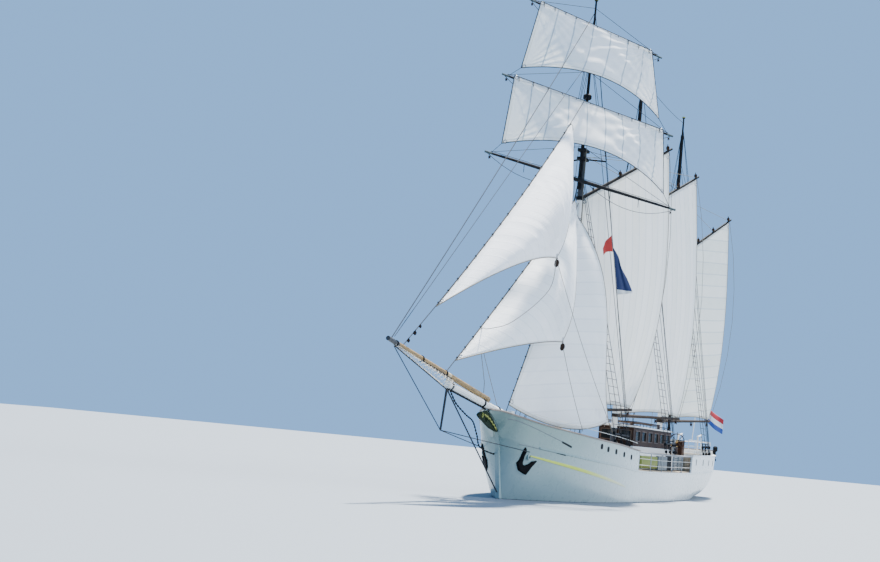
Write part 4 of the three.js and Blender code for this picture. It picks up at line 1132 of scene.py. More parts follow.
on_bowsprit = spar_top(BOWSPRIT_HEEL, BOWSPRIT_CAP, 0.19, 0.171, 18.0, 0.011)
STAYS = {  # foot, head, sag to leeward
    "outer_jib_stay": (on_jib_boom(30.7, 0.0158), before_topmast(22.95, 0.0148), 0.42),
    "middle_jib_stay": (on_jib_boom(25.9, 0.0166), before_mast(17.3, 0.0142), 0.1),
    "fore_stay": (on_bowsprit, before_mast(16.7, 0.0192), 0.05),
}
OUTER_CLEW, MIDDLE_CLEW, STAYSAIL_CLEW = at(17.4, 1.8, 12.35), at(15.6, 1.85, 8.23), at(9.1, 2.7, 4.45)
HEADSAILS = {  # stay, hanked from and to, clew, belly, arches of foot and leech, full leech, gap, finish
    "outer_jib": ("outer_jib_stay", 0.12, 0.86, OUTER_CLEW, 1.3, 0.7, 1.3, 0.0, 0.0122, sunlit_cloth),
    "middle_jib": ("middle_jib_stay", 0.05, 0.95, MIDDLE_CLEW, 1.1, 0.3, 1.4, 0.0, 0.0112, stay_cloth),
    "fore_staysail": ("fore_stay", 0.03, 0.95, STAYSAIL_CLEW, 0.6, -0.75, 0.0, 1.0, 0.0068, stay_cloth),
}
STAY_RADIUS = 0.022


def along_stay(name, t):
    foot, head, sag = STAYS[name]
    middle = foot.lerp(head, 0.5) + at(0, 2 * sag, 0)
    return foot * (1 - t) ** 2 + middle * (2 * t * (1 - t)) + head * t**2


head_sails = {}
for name, (stay, low, high, clew, belly, foot_arch, leech_arch, full, gap, finish) in HEADSAILS.items():
    direction = (STAYS[stay][1] - STAYS[stay][0]).normalized()
    hanked = at(-direction.z, 0, direction.x) * (STAY_RADIUS + gap)

    def luff(v, stay=stay, low=low, high=high, hanked=hanked):
        return along_stay(stay, lerp(low, high, v)) + hanked

    peak = luff(1) + at(-0.25, 0.03, -0.12)
    shape = four_sided(luff, clew, peak, at(0.35, 1, 0) * belly, foot_arch, leech_arch, 0.0, full)
    head_sails[name] = make_sail(name, shape, up_leech, finish, STAY_STRIP, "ship", [stay])

# %% [markdown]
# Two square topsails hang from the yards of the fore topmast. Yards and sails are braced round by
# 42 degrees as one stack, and each foot arches up between its sheets.

# %% Square topsails
TOPSAILS = {  # yards above and below, half width of head and foot, z of the foot, belly, arch of the foot
    "lower_topsail": ("middle", "lower", 4.75, 5.1, 18.6, 1.5, 0.95),
    "upper_topsail": ("upper", "middle", 3.6, 4.4, 23.05, 1.3, 0.7),
}


def square_surface(above, below, head_half, foot_half, foot_z, belly, arch):
    head_z, _, head_cant, radius = YARDS[above]
    foot_cant = YARDS[below][2]
    ahead = YARD_AHEAD + radius * math.cos(math.pi / 10) + 0.012

    def surface(u, v):
        t = 2 * u - 1
        across = t * lerp(foot_half, head_half, v)
        forward = ahead + belly * (1 - t * t) * math.sin(math.pi * 0.5 * (1 - v)) ** 1.1
        rise = arch * (1 - t * t) * (1 - v) ** 2 + 0.14 * v**6
        return yard_point(lerp(foot_z, head_z, v) + rise, across, forward, lerp(foot_cant, head_cant, v))
    return surface


square_sails = {}
for name, sizes in TOPSAILS.items():
    yards = [f"{yard}_yard" for yard in sizes[:2]]
    surface, look = square_surface(*sizes), (from_luff, square_cloth, SQUARE_STRIP)
    square_sails[name] = make_sail(name, surface, *look, "square_rig", yards)
print("sails:", len(gaff_sails) + len(head_sails) + len(square_sails))

# %% [markdown]
# Every sail's edge is sewn to a boltrope, and its corners end in steel rings. The rope follows the
# grid's outer points, a little thicker than the cloth.

# %% Boltropes and corner rings
def boltrope(shape, p, radius=0.026):
    rim = [*p[0, :-1], *p[:-1, -1], *p[-1, :0:-1], *p[:0:-1, 0]]
    rim = [Vector(q) for q in rim[::2]]
    shape.bar([*rim, rim[0]], radius, 6)


def corner_rings(shape, p):
    for j, i, inner_j, inner_i in ((0, 0, 3, 3), (0, -1, 3, -4), (-1, -1, -4, -4), (-1, 0, -4, 3)):
        corner, inner, next_on_edge = Vector(p[j, i]), Vector(p[inner_j, inner_i]), Vector(p[j, inner_i])
        inward = (inner - corner).normalized()
        beside = (next_on_edge - corner).normalized()
        beside = (beside - inward * beside.dot(inward)).normalized()
        middle = corner.lerp(inner, 0.35)
        path = [middle + (inward * math.cos(a) + beside * math.sin(a)) * 0.10 for a in angles(14, True)]
        shape.bar(path, 0.024, 6)


SAILS_OF_BODY = {
    "ship": head_sails.values(), "square_rig": square_sails.values(),
    **{f"{mast}_rig": [grid] for mast, grid in gaff_sails.items()},
}
for body, grids in SAILS_OF_BODY.items():
    ropes, rings = Shape(), Shape()
    for grid in grids:
        boltrope(ropes, grid)
        corner_rings(rings, grid)
    piece(f"boltropes_{body}", ropes, tarred if body == "square_rig" else hemp, body, "sailcloth", crease=80)
    piece(f"corner_rings_{body}", rings, galvanised, body, crease=80)

# %% [markdown]
# ## Rigging with Geometry Nodes
# A rope is a line with a thickness. The lines are drawn as mesh edges, and one node tree turns the
# edges into curves and the curves into tubes. The thickness and the number of sides are inputs.
# Blocks, deadeyes, mast hoops and hanks come in dozens. A second tree copies a small model of each
# to points that carry a turn and a size. Both trees end by making the result real and painting it.

# %% Building a tree and running a mesh through it
TREE_ENDS = {
    "start": "NodeGroupInput", "real": "GeometryNodeRealizeInstances",
    "paint": "GeometryNodeSetMaterial", "end": "NodeGroupOutput",
}
TREE_TAIL = [
    ("real", "Geometry", "paint", "Geometry"), ("start", "Finish", "paint", "Material"),
    ("paint", "Geometry", "end", "Result"),
]


def make_tree(name, sockets, kinds, links, result, vectors=()):
    """A tree from its input sockets, its nodes by short name, its links and what it ends with."""
    tree = bpy.data.node_groups.new(name, "GeometryNodeTree")
    for label, kind in {**sockets, "Finish": "Material"}.items():
        tree.interface.new_socket(label, in_out="INPUT", socket_type=f"NodeSocket{kind}")
    tree.interface.new_socket("Result", in_out="OUTPUT", socket_type="NodeSocketGeometry")
    for short, kind in {**kinds, **TREE_ENDS}.items():
        tree.nodes.new(kind).name = short
    for attribute in vectors:
        reader = tree.nodes.new("GeometryNodeInputNamedAttribute")
        reader.name = attribute
        reader.data_type = "FLOAT_VECTOR"
        reader.inputs["Name"].default_value = attribute
    for source, output, target, entry in [*links, (*result, "real", "Geometry"), *TREE_TAIL]:
        tree.links.new(tree.nodes[source].outputs[output], tree.nodes[target].inputs[entry])
    return tree


def run_tree(name, mesh, tree, settings):
    """A mesh sent through a tree, as a plain mesh object of its own."""
    carrier = new_object(name + "_carrier", mesh)
    steps = carrier.modifiers.new("tree", "NODES")
    steps.node_group = tree
    for label, value in settings.items():
        steps[next(item.identifier for item in tree.interface.items_tree if item.name == label)] = value
    bpy.context.view_layer.update()
    graph = bpy.context.evaluated_depsgraph_get()
    result = bpy.data.meshes.new_from_object(carrier.evaluated_get(graph))
    bpy.data.objects.remove(carrier)
    return new_object(name, result)


# %% Ropes from lines
line_tree = make_tree(
    "lines_to_ropes",
    {"Lines": "Geometry", "Rope radius": "Float", "Sides": "Int"},
    {
        "curve": "GeometryNodeMeshToCurve", "profile": "GeometryNodeCurvePrimitiveCircle",
        "tube": "GeometryNodeCurveToMesh", "smooth": "GeometryNodeSetShadeSmooth",
    },
    [
        ("start", "Lines", "curve", "Mesh"), ("start", "Rope radius", "profile", "Radius"),
        ("start", "Sides", "profile", "Resolution"), ("curve", "Curve", "tube", "Curve"),
        ("profile", "Curve", "tube", "Profile Curve"), ("tube", "Mesh", "smooth", "Geometry"),
    ],
    ("smooth", "Geometry"),
)
line_tree.nodes["tube"].inputs["Fill Caps"].default_value = True


def rope_piece(name, lines, radius, finish, body="ship", sides=6):
    points, edges = [], []
    for line in lines:
        first = len(points)
        points.extend(Vector(p) * SCALE for p in line)
        edges.extend((first + i, first + i + 1) for i in range(len(line) - 1))
    mesh = bpy.data.meshes.new(name)
    mesh.from_pydata(points, edges, [])
    made = run_tree(name, mesh, line_tree, {"Rope radius": radius * SCALE, "Sides": sides, "Finish": finish})
    print(f"{name}: {len(lines)} lines, {len(made.data.polygons)} faces")
    return enlist(made, body, slot_of[finish.name])


def hang(start, end, sag=0.0, count=10, aside=0.0):
    """A line between two points that sags down, and may also blow aside."""
    steps = [i / count for i in range(count + 1)]
    return [Vector(start).lerp(Vector(end), t) + at(0, aside, -sag) * (4 * t * (1 - t)) for t in steps]


# %% [markdown]
# The shrouds are CAD solids. Ratlines are tied across them as a ladder, each a short line from
# shroud to shroud that sags by a few centimetres. Near the crosstrees the ladder ends. At its foot
# an iron sheer pole joins the shrouds, and coils of rope hang from it.

# %% Ratlines, sheer poles and coils
SHROUD_HEAD = {"fore": 17.42, "main": 19.1, "mizzen": 19.3}
SHROUD_AFT, SHROUD_STEP, BACKSTAY_AFT = (0.9, 1.9, 2.9), 0.32, 3.4
WAIST_POSTS = [4.3, 1.65, -1.0, -3.65, -6.3, -8.8]
RATLINES_FROM, RATLINES_BELOW_HEAD, RATLINE_STEP, RATLINE_SAG = 1.1, 1.2, 0.42, 0.02
SHEER_POLE_UP = 0.85


def linear(x, column):
    """A column of the stations, by straight lines as in the CAD."""
    table = np.array(HULL_STATIONS)[::-1]
    return float(np.interp(x, table[:, 0], table[:, column]))


def waist_head(x, side):
    posts = sorted(WAIST_POSTS)
    half = np.interp(x, posts, [linear(p, RAIL_HALF) - 0.06 for p in posts])
    z = np.interp(x, posts, [linear(p, RAIL_Z) - 0.04 for p in posts])
    return at(x, side * float(half), float(z))


def rail_top(x, side):
    if WAIST_AFT < x < WAIST_FORE:
        return waist_head(x, side) + at(0, 0, 0.05)
    return at(x, side * (linear(x, RAIL_HALF) - 0.04), linear(x, RAIL_Z) + 0.005)


def crosstree_end(mast, side):
    rise, half = (1.5, 1.2) if mast == "fore" else (0.55, 0.9)
    return mast_point(mast, DOUBLING[mast][0] + rise) + at(-0.5, side * half, 0)


def shroud_lines(mast, side):
    """Foot and head of three shrouds and, last, of the backstay."""
    lines = []
    for i, aft in enumerate(SHROUD_AFT):
        z = SHROUD_HEAD[mast] + i * SHROUD_STEP
        head = mast_point(mast, z) + at(0, side * (mast_radius(mast, z) + 0.016), 0)
        lines.append((rail_top(MAST_X[mast] - aft, side), head))
    backstay_head = crosstree_end(mast, side) - at(-0.01, 0, 0.052)
    return [*lines, (rail_top(MAST_X[mast] - BACKSTAY_AFT, side), backstay_head)]


def across_shrouds(shrouds, z):
    return [foot.lerp(head, (z - foot.z) / (head.z - foot.z)) for foot, head in shrouds[:3]]


EACH_SIDE = [(mast, side) for mast in MAST_X for side in SIDES.values()]
ratlines, sheer_poles, coils = [], [], []
for mast, side in EACH_SIDE:
    shrouds = shroud_lines(mast, side)
    rail = shrouds[0][0].z
    z = rail + RATLINES_FROM
    while z < SHROUD_HEAD[mast] - RATLINES_BELOW_HEAD:
        a, b, c = across_shrouds(shrouds, z)
        sag = at(0, 0, RATLINE_SAG)
        ratlines.append([a, a.lerp(b, 0.5) - sag, b, b.lerp(c, 0.5) - sag, c])
        z += RATLINE_STEP
    a, b, c = across_shrouds(shrouds, rail + SHEER_POLE_UP)
    sheer_poles.append([a + at(0.15, 0, 0), b, c - at(0.15, 0, 0)])
    for pin in (a.lerp(b, 0.4), b.lerp(c, 0.5)):
        for wide in (0.07, 0.11):
            coils.append([pin + at(math.sin(a) * wide, -side * 0.06, math.cos(a) * (0.17 + wide) - 0.28)
                          for a in angles(10, True)])
rope_piece("ratlines", ratlines, 0.016, tarred, sides=4)
rope_piece("sheer_poles", sheer_poles, 0.03, black_paint)
rope_piece("rope_coils", coils, 0.022, tarred)

# %% [markdown]
# Running and standing lines of the fixed ship: topmast shrouds, springstays between the masts,
# jib sheets with a lazy sheet, halyards, the net under the jib boom and the lifelines.

# %% Wires and ropes of the ship
TOPMAST_BACKSTAY_AFT = 3.1
SPRINGSTAYS = [  # mast, z, ahead, at either end, and sag
    ("fore", 19.9, 0, "main", 21.7, 0, 0.15), ("main", 21.8, 0, "mizzen", 21.8, 0, 0.12),
    ("fore", 26.9, 0.3, "main", 27.0, 0.3, 0.2), ("main", 27.1, 0.3, "mizzen", 26.8, 0.3, 0.2),
]
LAZY_SHEET = [
    OUTER_CLEW, (19.2, 2.2, 10.5), (23.2, 2.0, 8.5), (24.0, 1.1, 8.0), (22.4, 0.1, 8.1),
    (18.0, -1.6, 7.6), (10.6, -2.95, 3.6),
]

wires = []
for mast, side in EACH_SIDE:
    for down in (0.7, 3.2):
        head = mast_point(mast, TRUCK[mast] - down, TOPMAST_OFFSET)
        wires.append([crosstree_end(mast, side), head])
        wires.append(hang(rail_top(MAST_X[mast] - TOPMAST_BACKSTAY_AFT, side), head, 0, 2))
for mast, z, ahead, next_mast, next_z, next_ahead, sag in SPRINGSTAYS:
    wires.append(hang(mast_point(mast, z, ahead), mast_point(next_mast, next_z, next_ahead), sag))
wires.append([at(31.75, 0.05, 6.82), before_topmast(25.2, 0.02)])
ropes = [
    hang(OUTER_CLEW, at(8.4, 2.95, 3.6), 0.35),
    fair(LAZY_SHEET, 6),
    [(22.68, 0.3, 6.9), (21.85, 0.25, 5.6), (21.71, 0.2, 5.1)],
    hang(MIDDLE_CLEW, at(13.4, 2.65, 3.75), 0.2),
    hang(STAYSAIL_CLEW, at(7.6, 2.9, 3.3), 0.08),
]
for mast in MAST_X:
    for y in (0.5, -0.5):
        head = mast_point(mast, TRUCK[mast] - 6.5, 0.3) + at(0, y * 0.4, 0)
        ropes.append([head, mast_point(mast, 4.3, 0.45) + at(0, y, 0)])
rope_piece("standing_wires", wires, 0.016, wire)
rope_piece("running_ropes", ropes, 0.017, hemp)

# %% The net under the jib boom
NET_STEPS, NET_FROM, NET_OVER = 16, 0.42, 0.52  # the last two are shares of the jib boom
NET_SECTION = ((0.3, 0.18), (1, 0.55), (0, 1), (-1, 0.55), (-0.3, 0.18))
net = []
for i in range(NET_STEPS + 1):
    t = i / NET_STEPS
    boom = JIB_BOOM_HEEL.lerp(JIB_BOOM_TIP, NET_FROM + NET_OVER * t)
    wide, deep = lerp(0.34, 0.06, t), lerp(0.68, 0.14, t)
    net.append([boom + at(0, y * wide, -z * deep) for y, z in NET_SECTION])
rows = [[line[k] for line in net] for k in range(5)]
crosses = [[net[i][k], net[i + 1][k + 1]] for i in range(NET_STEPS) for k in range(4)]
rope_piece("bow_net", net + rows + crosses, 0.009, white_rope, sides=4)
# Tarred ropes along the net's edges and bottom: real ropes, drawn thick and dark so that they also paint
# shade under the jib boom.
rope_piece("bow_net_ropes", rows[::2], 0.03, tarred)

# %% Lifelines round the decks
GUARD_POSTS = [-9.4, -11.6, -13.8, -15.8, -17.6, -19.2, -20.3, -21.0]
BOW_POSTS = [4.6, 8, 12, 15, 17.5]
lifelines = []
for rise in (0.37, 0.74):
    port = [at(x, linear(x, RAIL_HALF) - 0.42, RAISED_DECK + rise) for x in GUARD_POSTS]
    lifelines.append(port + [at(p.x, -p.y, p.z) for p in port[::-1]])
    for side in SIDES.values():
        lifelines.append([waist_head(x, side) - at(0, 0, rise) for x in WAIST_POSTS])
for side in SIDES.values():
    feet = [(x, side_at(x, 3.2, side).y - side * 0.12) for x in BOW_POSTS]
    lifelines.append([at(x, y, deck_height(x) + BULWARK + 0.45) for x, y in feet])
rope_piece("lifelines", lifelines, 0.014, white_rope)

# %% [markdown]
# Ropes on the moving spars turn with them. Peak halyards and topping lifts reach the masthead next
# to the axis they turn on, and lifts, footropes and clew lines belong to the braced yards.

# %% Ropes of the gaff rigs
PEAK_SHARES = (0.42, 0.68, 0.95)
for mast in MAST_X:
    boom_length, (gaff_z, gaff_length) = BOOMS[mast][1], GAFFS[mast][:2]
    head = mast_point(mast, DOUBLING[mast][1] - 0.5) + at(-0.20, 0, 0)
    lines = []
    for share in PEAK_SHARES:
        on_top = on_spar(GAFFS, mast, gaff_length * share) + at(0, 0, 0.09)
        lines.append([on_top, head + at(0, 0, 0.3 * (1 - share))])
    boom_end = on_spar(BOOMS, mast, boom_length * 0.97) + at(0, 0.13, 0.02)
    gaff_end = on_spar(GAFFS, mast, gaff_length * 0.95) + at(0, 0.12, -0.05)
    lines.append(hang(boom_end, gaff_end, 0.0, 6, aside=0.95))
    throat = on_spar(GAFFS, mast, 0.5) + at(0, 0, 0.09)
    lines.append([throat, mast_point(mast, gaff_z + 1.3) + at(-0.2, 0, 0)])
    rope_piece(f"{mast}_halyards", lines, 0.014, hemp, f"{mast}_rig")

# %% Ropes of the yards
FOOTROPE_DROP, ROBANDS_TO = 0.72, 0.94
yard_lines, yard_wires = [], []
for name, (z, half, cant, radius) in YARDS.items():
    lift_head = mast_point("fore", 28.3 if name == "upper" else z + 2.1, TOPMAST_OFFSET)
    for way in SIDES.values():
        tip = yard_point(z, way * (half - 0.15), cant=cant)
        inner_end = yard_point(z, way * 0.5, cant=cant)
        yard_wires.append([tip, lift_head])
        yard_lines.append(hang(tip - at(0, 0, 0.05), inner_end - at(0, 0, 0.15), FOOTROPE_DROP, 12))
        for share in (0.3, 0.6):
            stirrup = yard_point(z, way * half * share, cant=cant)
            yard_lines.append([stirrup, stirrup - at(0, 0, 0.66 - abs(share - 0.45))])
    jackstay = []
    for t in np.linspace(-ROBANDS_TO, ROBANDS_TO, 15):
        jackstay.append(yard_point(z, half * t, cant=cant) + at(0, 0, radius * (1.35 - 0.4 * abs(t))))
    yard_wires.append(jackstay)
for name, (above, below, head_half, *_) in TOPSAILS.items():
    head_z, _, head_cant, radius = YARDS[above]
    low_z, low_half, low_cant, _ = YARDS[below]
    for way, column in ((1, -1), (-1, 0)):
        clew = Vector(square_sails[name][0, column])
        yard_wires.append([clew, yard_point(low_z, way * (low_half - 0.35), cant=low_cant)])
        yard_lines.append(hang(clew, yard_point(head_z, way * 0.9, 0.2, head_cant), 0.2, 8))
    for t in np.linspace(-ROBANDS_TO, ROBANDS_TO, 11):
        aheads = (radius + 0.05, radius, -radius - 0.03)
        front, over, back = [yard_point(head_z, head_half * t, YARD_AHEAD + off, head_cant) for off in aheads]
        roband = ((front, -0.14), (front, 0.10), (over, 0.17), (back, 0.04))
        yard_lines.append([p + at(0, 0, rise) for p, rise in roband])
rope_piece("yard_footropes", yard_lines, 0.017, tarred, "square_rig")
rope_piece("yard_wires", yard_wires, 0.015, wire, "square_rig")

# %% Fittings copied to points
copy_tree = make_tree(
    "fittings_on_points",
    {"Places": "Geometry", "Fitting": "Object"},
    {
        "model": "GeometryNodeObjectInfo", "copy": "GeometryNodeInstanceOnPoints",
        "rotate": "FunctionNodeEulerToRotation",
    },
    [
        ("start", "Places", "copy", "Points"), ("start", "Fitting", "model", "Object"),
        ("model", "Geometry", "copy", "Instance"), ("turn", "Attribute", "rotate", "Euler"),
        ("rotate", "Rotation", "copy", "Rotation"), ("size", "Attribute", "copy", "Scale"),
    ],
    ("copy", "Instances"),
    vectors=("turn", "size"),
)


def fitting_piece(name, model, places, finish, body="ship"):
    """places: point, the direction of the fitting's own z, and its size."""
    mesh = bpy.data.meshes.new(name)
    mesh.from_pydata([Vector(p) * SCALE for p, axis, size in places], [], [])
    turns = [Vector(axis).to_track_quat("Z", "Y").to_euler() for p, axis, size in places]
    for layer, values in (("turn", turns), ("size", [(s, s, s) for p, axis, s in places])):
        flat = [float(v) for value in values for v in value]
        mesh.attributes.new(layer, "FLOAT_VECTOR", "POINT").data.foreach_set("vector", flat)
    made = run_tree(name, mesh, copy_tree, {"Fitting": model, "Finish": finish})
    print(f"{name}: {len(places)} copies, {len(made.data.polygons)} faces")
    return enlist(made, body, slot_of[finish.name])


# %% Small models: block, deadeye, hoop and hank
def ring_form(radius, thick, sides, count):
    path = [at(math.cos(a) * radius, math.sin(a) * radius, 0) for a in angles(count, True)]
    return Shape().bar(path, thick, sides)


def block_form():
    """A wooden pulley block: two cheeks, a sheave between them and a strop eye on top."""
    form = Shape()
    rim = [(0.075 * math.cos(a), 0.11 * math.sin(a)) for a in angles(10)]
    for y in (-0.045, 0.03):
        form.prism(rim, y, y + 0.015)
    form.turned(at(0, -0.03, 0), (0, 1, 0), [(0, 0.06), (0.06, 0.06)], 10)
    eye = [(0, 0.10), (0.02, 0.15), (0, 0.18), (-0.02, 0.15), (0, 0.10)]
    form.bar([at(x, 0, z) for x, z in eye], 0.012, 5)
    return form


def deadeye_form():
    """Upper and lower deadeye with the lanyard rove between them, along z."""
    form = Shape()
    profile = [(0, 0.05), (0.012, 0.085), (0.045, 0.095), (0.078, 0.085), (0.09, 0.05)]
    for z in (0.16, 0.62):
        form.turned(at(-0.045, 0, z), (1, 0, 0), profile, 12)
    for y in (-0.05, 0, 0.05):
        form.bar([at(0, y, 0.16), at(0, y, 0.62)], 0.012, 5)
    form.bar([at(0, 0, -0.05), at(0, 0, 0.10)], 0.02, 6)
    return form


models = {
    "block": block_form(), "deadeye": deadeye_form(),
    "hoop": ring_form(0.225, 0.02, 6, 20), "hank": ring_form(0.045, 0.014, 5, 10),
}
for name, form in models.items():
    models[name] = bpy.data.objects.new(name, form_mesh(name, form, 50, weld=False))

# %% Place the fittings
HOOP_STEP, HANKS_A_SAIL = 0.85, 19
deadeyes = [(foot, head - foot, 1.0) for mast, side in EACH_SIDE for foot, head in shroud_lines(mast, side)]
ship_blocks, hanks = [], []
for p in (OUTER_CLEW, MIDDLE_CLEW):
    ship_blocks.append((p + at(-0.1, 0.02, -0.22), (0.1, 0, 1), 1.5))
    ship_blocks.append((p + at(-0.22, -0.05, -0.3), (0.3, 0, 1), 1.3))
for t, size in ((0.012, 0.8), (0.035, 0.9), (0.055, 0.7)):
    ship_blocks.append((along_stay("outer_jib_stay", t) + at(0, 0.07, 0), (-0.4, 0, 1), size))
for stay, low, high, *_ in HEADSAILS.values():
    for t in np.linspace(low + 0.01, high - 0.01, HANKS_A_SAIL):
        hanks.append((along_stay(stay, t), STAYS[stay][1] - STAYS[stay][0], 1.0))
fitting_piece("deadeyes", models["deadeye"], deadeyes, black_paint)
fitting_piece("ship_blocks", models["block"], ship_blocks, mahogany)
fitting_piece("stay_hanks", models["hank"], hanks, black_paint)
for mast in MAST_X:
    (boom_z, boom_length), (gaff_z, gaff_length) = BOOMS[mast][:2], GAFFS[mast][:2]
    heights = np.arange(boom_z + 0.7, gaff_z - 0.5, HOOP_STEP)
    hoops = [(mast_point(mast, z), (-MAST_RAKE, 0, 1), 1.0) for z in heights]
    fitting_piece(f"{mast}_mast_hoops", models["hoop"], hoops, boom_wood, f"{mast}_rig")
    blocks = [(on_spar(GAFFS, mast, gaff_length * s) + at(0, 0, 0.20), (0.4, 0, 1), 1.3) for s in PEAK_SHARES]
    blocks += [(on_spar(BOOMS, mast, boom_length * s) - at(0, 0, 0.24), (0, 0, 1), 1.4) for s in (0.62, 0.95)]
    fitting_piece(f"{mast}_blocks", models["block"], blocks, mahogany, f"{mast}_rig")
blocks = []
for z, half, cant, radius in YARDS.values():
    for t in (-0.95, -0.12, 0.12, 0.95):
        blocks.append((yard_point(z, half * t, cant=cant) - at(0, 0, radius + 0.12), (0, 0, 1), 0.9))
fitting_piece("yard_blocks", models["block"], blocks, mahogany, "square_rig")
for model in models.values():
    bpy.data.objects.remove(model)

# %% [markdown]
# ## Flags
# The ensign flies from the staff at the stern, in three level bands. A dark blue flag with a white
# hem and a small red pennant fly from the fore backstay. Flags are soft, so deep folds run down
# from the hoist. Bands and hem follow the cloth's own UV map.

# %% Bunting
STAFF_FOOT, STAFF_HEAD = at(-21.0, 0.3, RAISED_DECK + 1.1), at(-22.0, 0.3, 7.4)
fore_backstay = shroud_lines("fore", 1)[3]


def ensign_bands(u, v):
    lower = blend(v > 0.333, (0.022, 0.075, 0.33), (0.82, 0.82, 0.80))
    return blend(v > 0.667, lower, (0.55, 0.035, 0.045))


def navy_hem(u, v):
    return blend(v < 0.11, (0.012, 0.025, 0.10), (0.78, 0.78, 0.76))


def red_hoist(u, v):
    return blend(u < 0.05, (0.60, 0.045, 0.035), (0.75, 0.72, 0.66))


def make_bunting(name, paint):
    material, shader, place = new_finish(name, 0.8)
    u, v = uv_parts(material, "cloth")[:2]
    weave = place.noise(160, 2)
    colour = blend(place.noise(7, 3) * 0.3, paint(u, v), (0.30, 0.30, 0.32), "MULTIPLY")
    feed(shader, colour, None, weave + (u < 0.06), 0.002, 0.5)
    return material


def ensign_surface(u, v):
    hoist = STAFF_FOOT.lerp(STAFF_HEAD, 0.65 + 0.33 * v) + at(-0.02, 0.0214, 0)
    fold = 0.09 * math.sin(11 * u + 2.2 * v) * min(1, 4 * u)
    return hoist + at(-0.9 * u + fold, 1.9 * u, -1.45 * u + 0.05 * math.sin(7 * u) * min(1, 4 * u))


def on_backstay(t, aside):
    foot, head = fore_backstay
    return foot.lerp(head, t) + at(0, aside, 0)


def signal_surface(u, v):
    fold = 0.07 * math.sin(9 * u + 2.5 * v) * min(1, 3 * u)
    blown = at(-0.65 * u + fold, 0.75 * u + 0.05 * math.sin(6 * u), 0.2 * u - 1.85 * u * v)
    return on_backstay(0.535 + 0.165 * v, 0.0229) + blown


def pennant_surface(u, v):
    tapered = on_backstay(0.685 + 0.06 * v, -0.022).lerp(on_backstay(0.70, -0.022), 0.6 * u)
    return tapered + at(0.22 * u, -0.5 * u + 0.04 * math.sin(8 * u), -0.38 * u * u)


def make_flag(name, surface, finish, columns, rows, replaces=None, taper=1):
    p = cloth_points(surface, columns, rows)
    v, u = np.mgrid[0:1:(rows + 1) * 1j, 0:1:(columns + 1) * 1j]
    made, area = cloth_object(name, p, {"cloth": (u, v)}, finish, FLAG_THICK)
    tall = float(np.linalg.norm(p[-1, 0] - p[0, 0])) * SCALE
    wide = taper * area / tall
    enlist(made, "ship", "bunting")
    if replaces:
        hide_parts(replaces)
    print(f"{name}: {wide:.2f} by {tall:.2f} m")


ensign_cloth = make_bunting("ensign_bunting", ensign_bands)
navy_cloth = make_bunting("navy_bunting", navy_hem)
red_cloth = make_bunting("red_bunting", red_hoist)
make_flag("ensign_flag", ensign_surface, ensign_cloth, 36, 18, "ensign")
make_flag("navy_flag", signal_surface, navy_cloth, 24, 24, "signal_flag")
make_flag("red_pennant", pennant_surface, red_cloth, 16, 8, taper=2)

# %% [markdown]
# ## Bow
# A pair of anchors are housed against the plating below the hawse pipes, crown down and flukes up.
# A casting has flat faces and planed edges, so its outline is lofted through three rings that
# follow the ship's side.

# %% Anchors
FLUKES = [
    (17.92, 2.67), (17.86, 2.53), (17.87, 2.31), (17.83, 1.99), (17.78, 1.85), (17.62, 1.73), (17.38, 1.84),
    (17.22, 1.99), (16.95, 2.04), (17.06, 1.86), (17.16, 1.67), (17.25, 1.42), (17.29, 1.30), (17.52, 1.38),
    (17.78, 1.50), (17.96, 1.76), (18.03, 1.86), (17.97, 1.99), (17.96, 2.20), (17.96, 2.50),
]
CROWN, HAWSE = (17.62, 1.60), (17.48, 2.20)
PLANED_EDGE = ((1.0, -0.02), (1.0, 0.06), (0.90, 0.11))  # share of the outline, distance off the side
HAWSE_LIP = [(0, 0.16), (0.09, 0.16), (0.11, 0.13), (0.11, 0.08), (0.02, 0.07)]  # distance out, radius

for name, side in SIDES.items():
    crown = np.array(CROWN)
    rings = []
    for share, out in PLANED_EDGE:
        rings.append([side_at(*(crown + (np.array(p) - crown) * share), side, out) for p in FLUKES])
    anchor = Shape().loft(rings)
    piece(f"anchor_{name}_casting", anchor, iron, replaces=[f"anchor_{name}"], crease=30)
    hub, outside = [side_at(*HAWSE, side, out) for out in (-0.06, 0.2)]
    piece(f"hawse_pipe_{name}", Shape().turned(hub, outside - hub, HAWSE_LIP, 20), hull_paint)

# %% [markdown]
# The stem head carries a carved knee in green, with a gilt scroll and leaves that trail down and
# aft along it. Spirals are bars whose radius shrinks as they wind in. `horn` makes the leaves.

# %% Scroll on the stem head
KNEE = [
    (20.80, 4.26), (21.30, 4.19), (21.58, 4.12), (21.72, 4.02), (21.50, 3.91), (21.10, 3.80),
    (20.50, 3.59), (20.05, 3.45), (19.50, 3.36), (19.15, 3.30), (19.16, 3.38), (19.9, 3.88),
]
LEAVES = [(21.16, 4.08), (20.86, 4.01), (20.56, 3.92), (20.26, 3.79), (19.96, 3.65), (19.70, 3.52)]


def horn(shape, path, widths, depths, outward):
    """A curved horn with an oval section that follows a path."""
    path = [Vector(p) for p in fair([tuple(p) for p in path], 5)]
    sizes = fair(list(zip(widths, depths)), 5)
    rings = []
    for p, ahead, (wide, deep) in zip(path, directions(path), sizes):
        out = (Vector(outward) - ahead * Vector(outward).dot(ahead)).normalized()
        flat = ahead.cross(out)
        rings.append([p + flat * math.cos(a) * wide + out * math.sin(a) * deep for a in angles(12)])
    shape.loft(rings)


def spiral(shape, middle, start, turns, side, thick, steps=25):
    path, radii = [], []
    for k in range(steps + 1):
        t = k / steps
        a = turns * 2 * math.pi * t + math.pi / 2
        radius = start * (1 - t) ** 1.1 + 0.015
        path.append(middle + at(math.cos(a) * radius, 0.02 * side * t, math.sin(a) * radius))
        radii.append(thick * (1 - 0.6 * t))
    shape.bar(path, radii, 7)


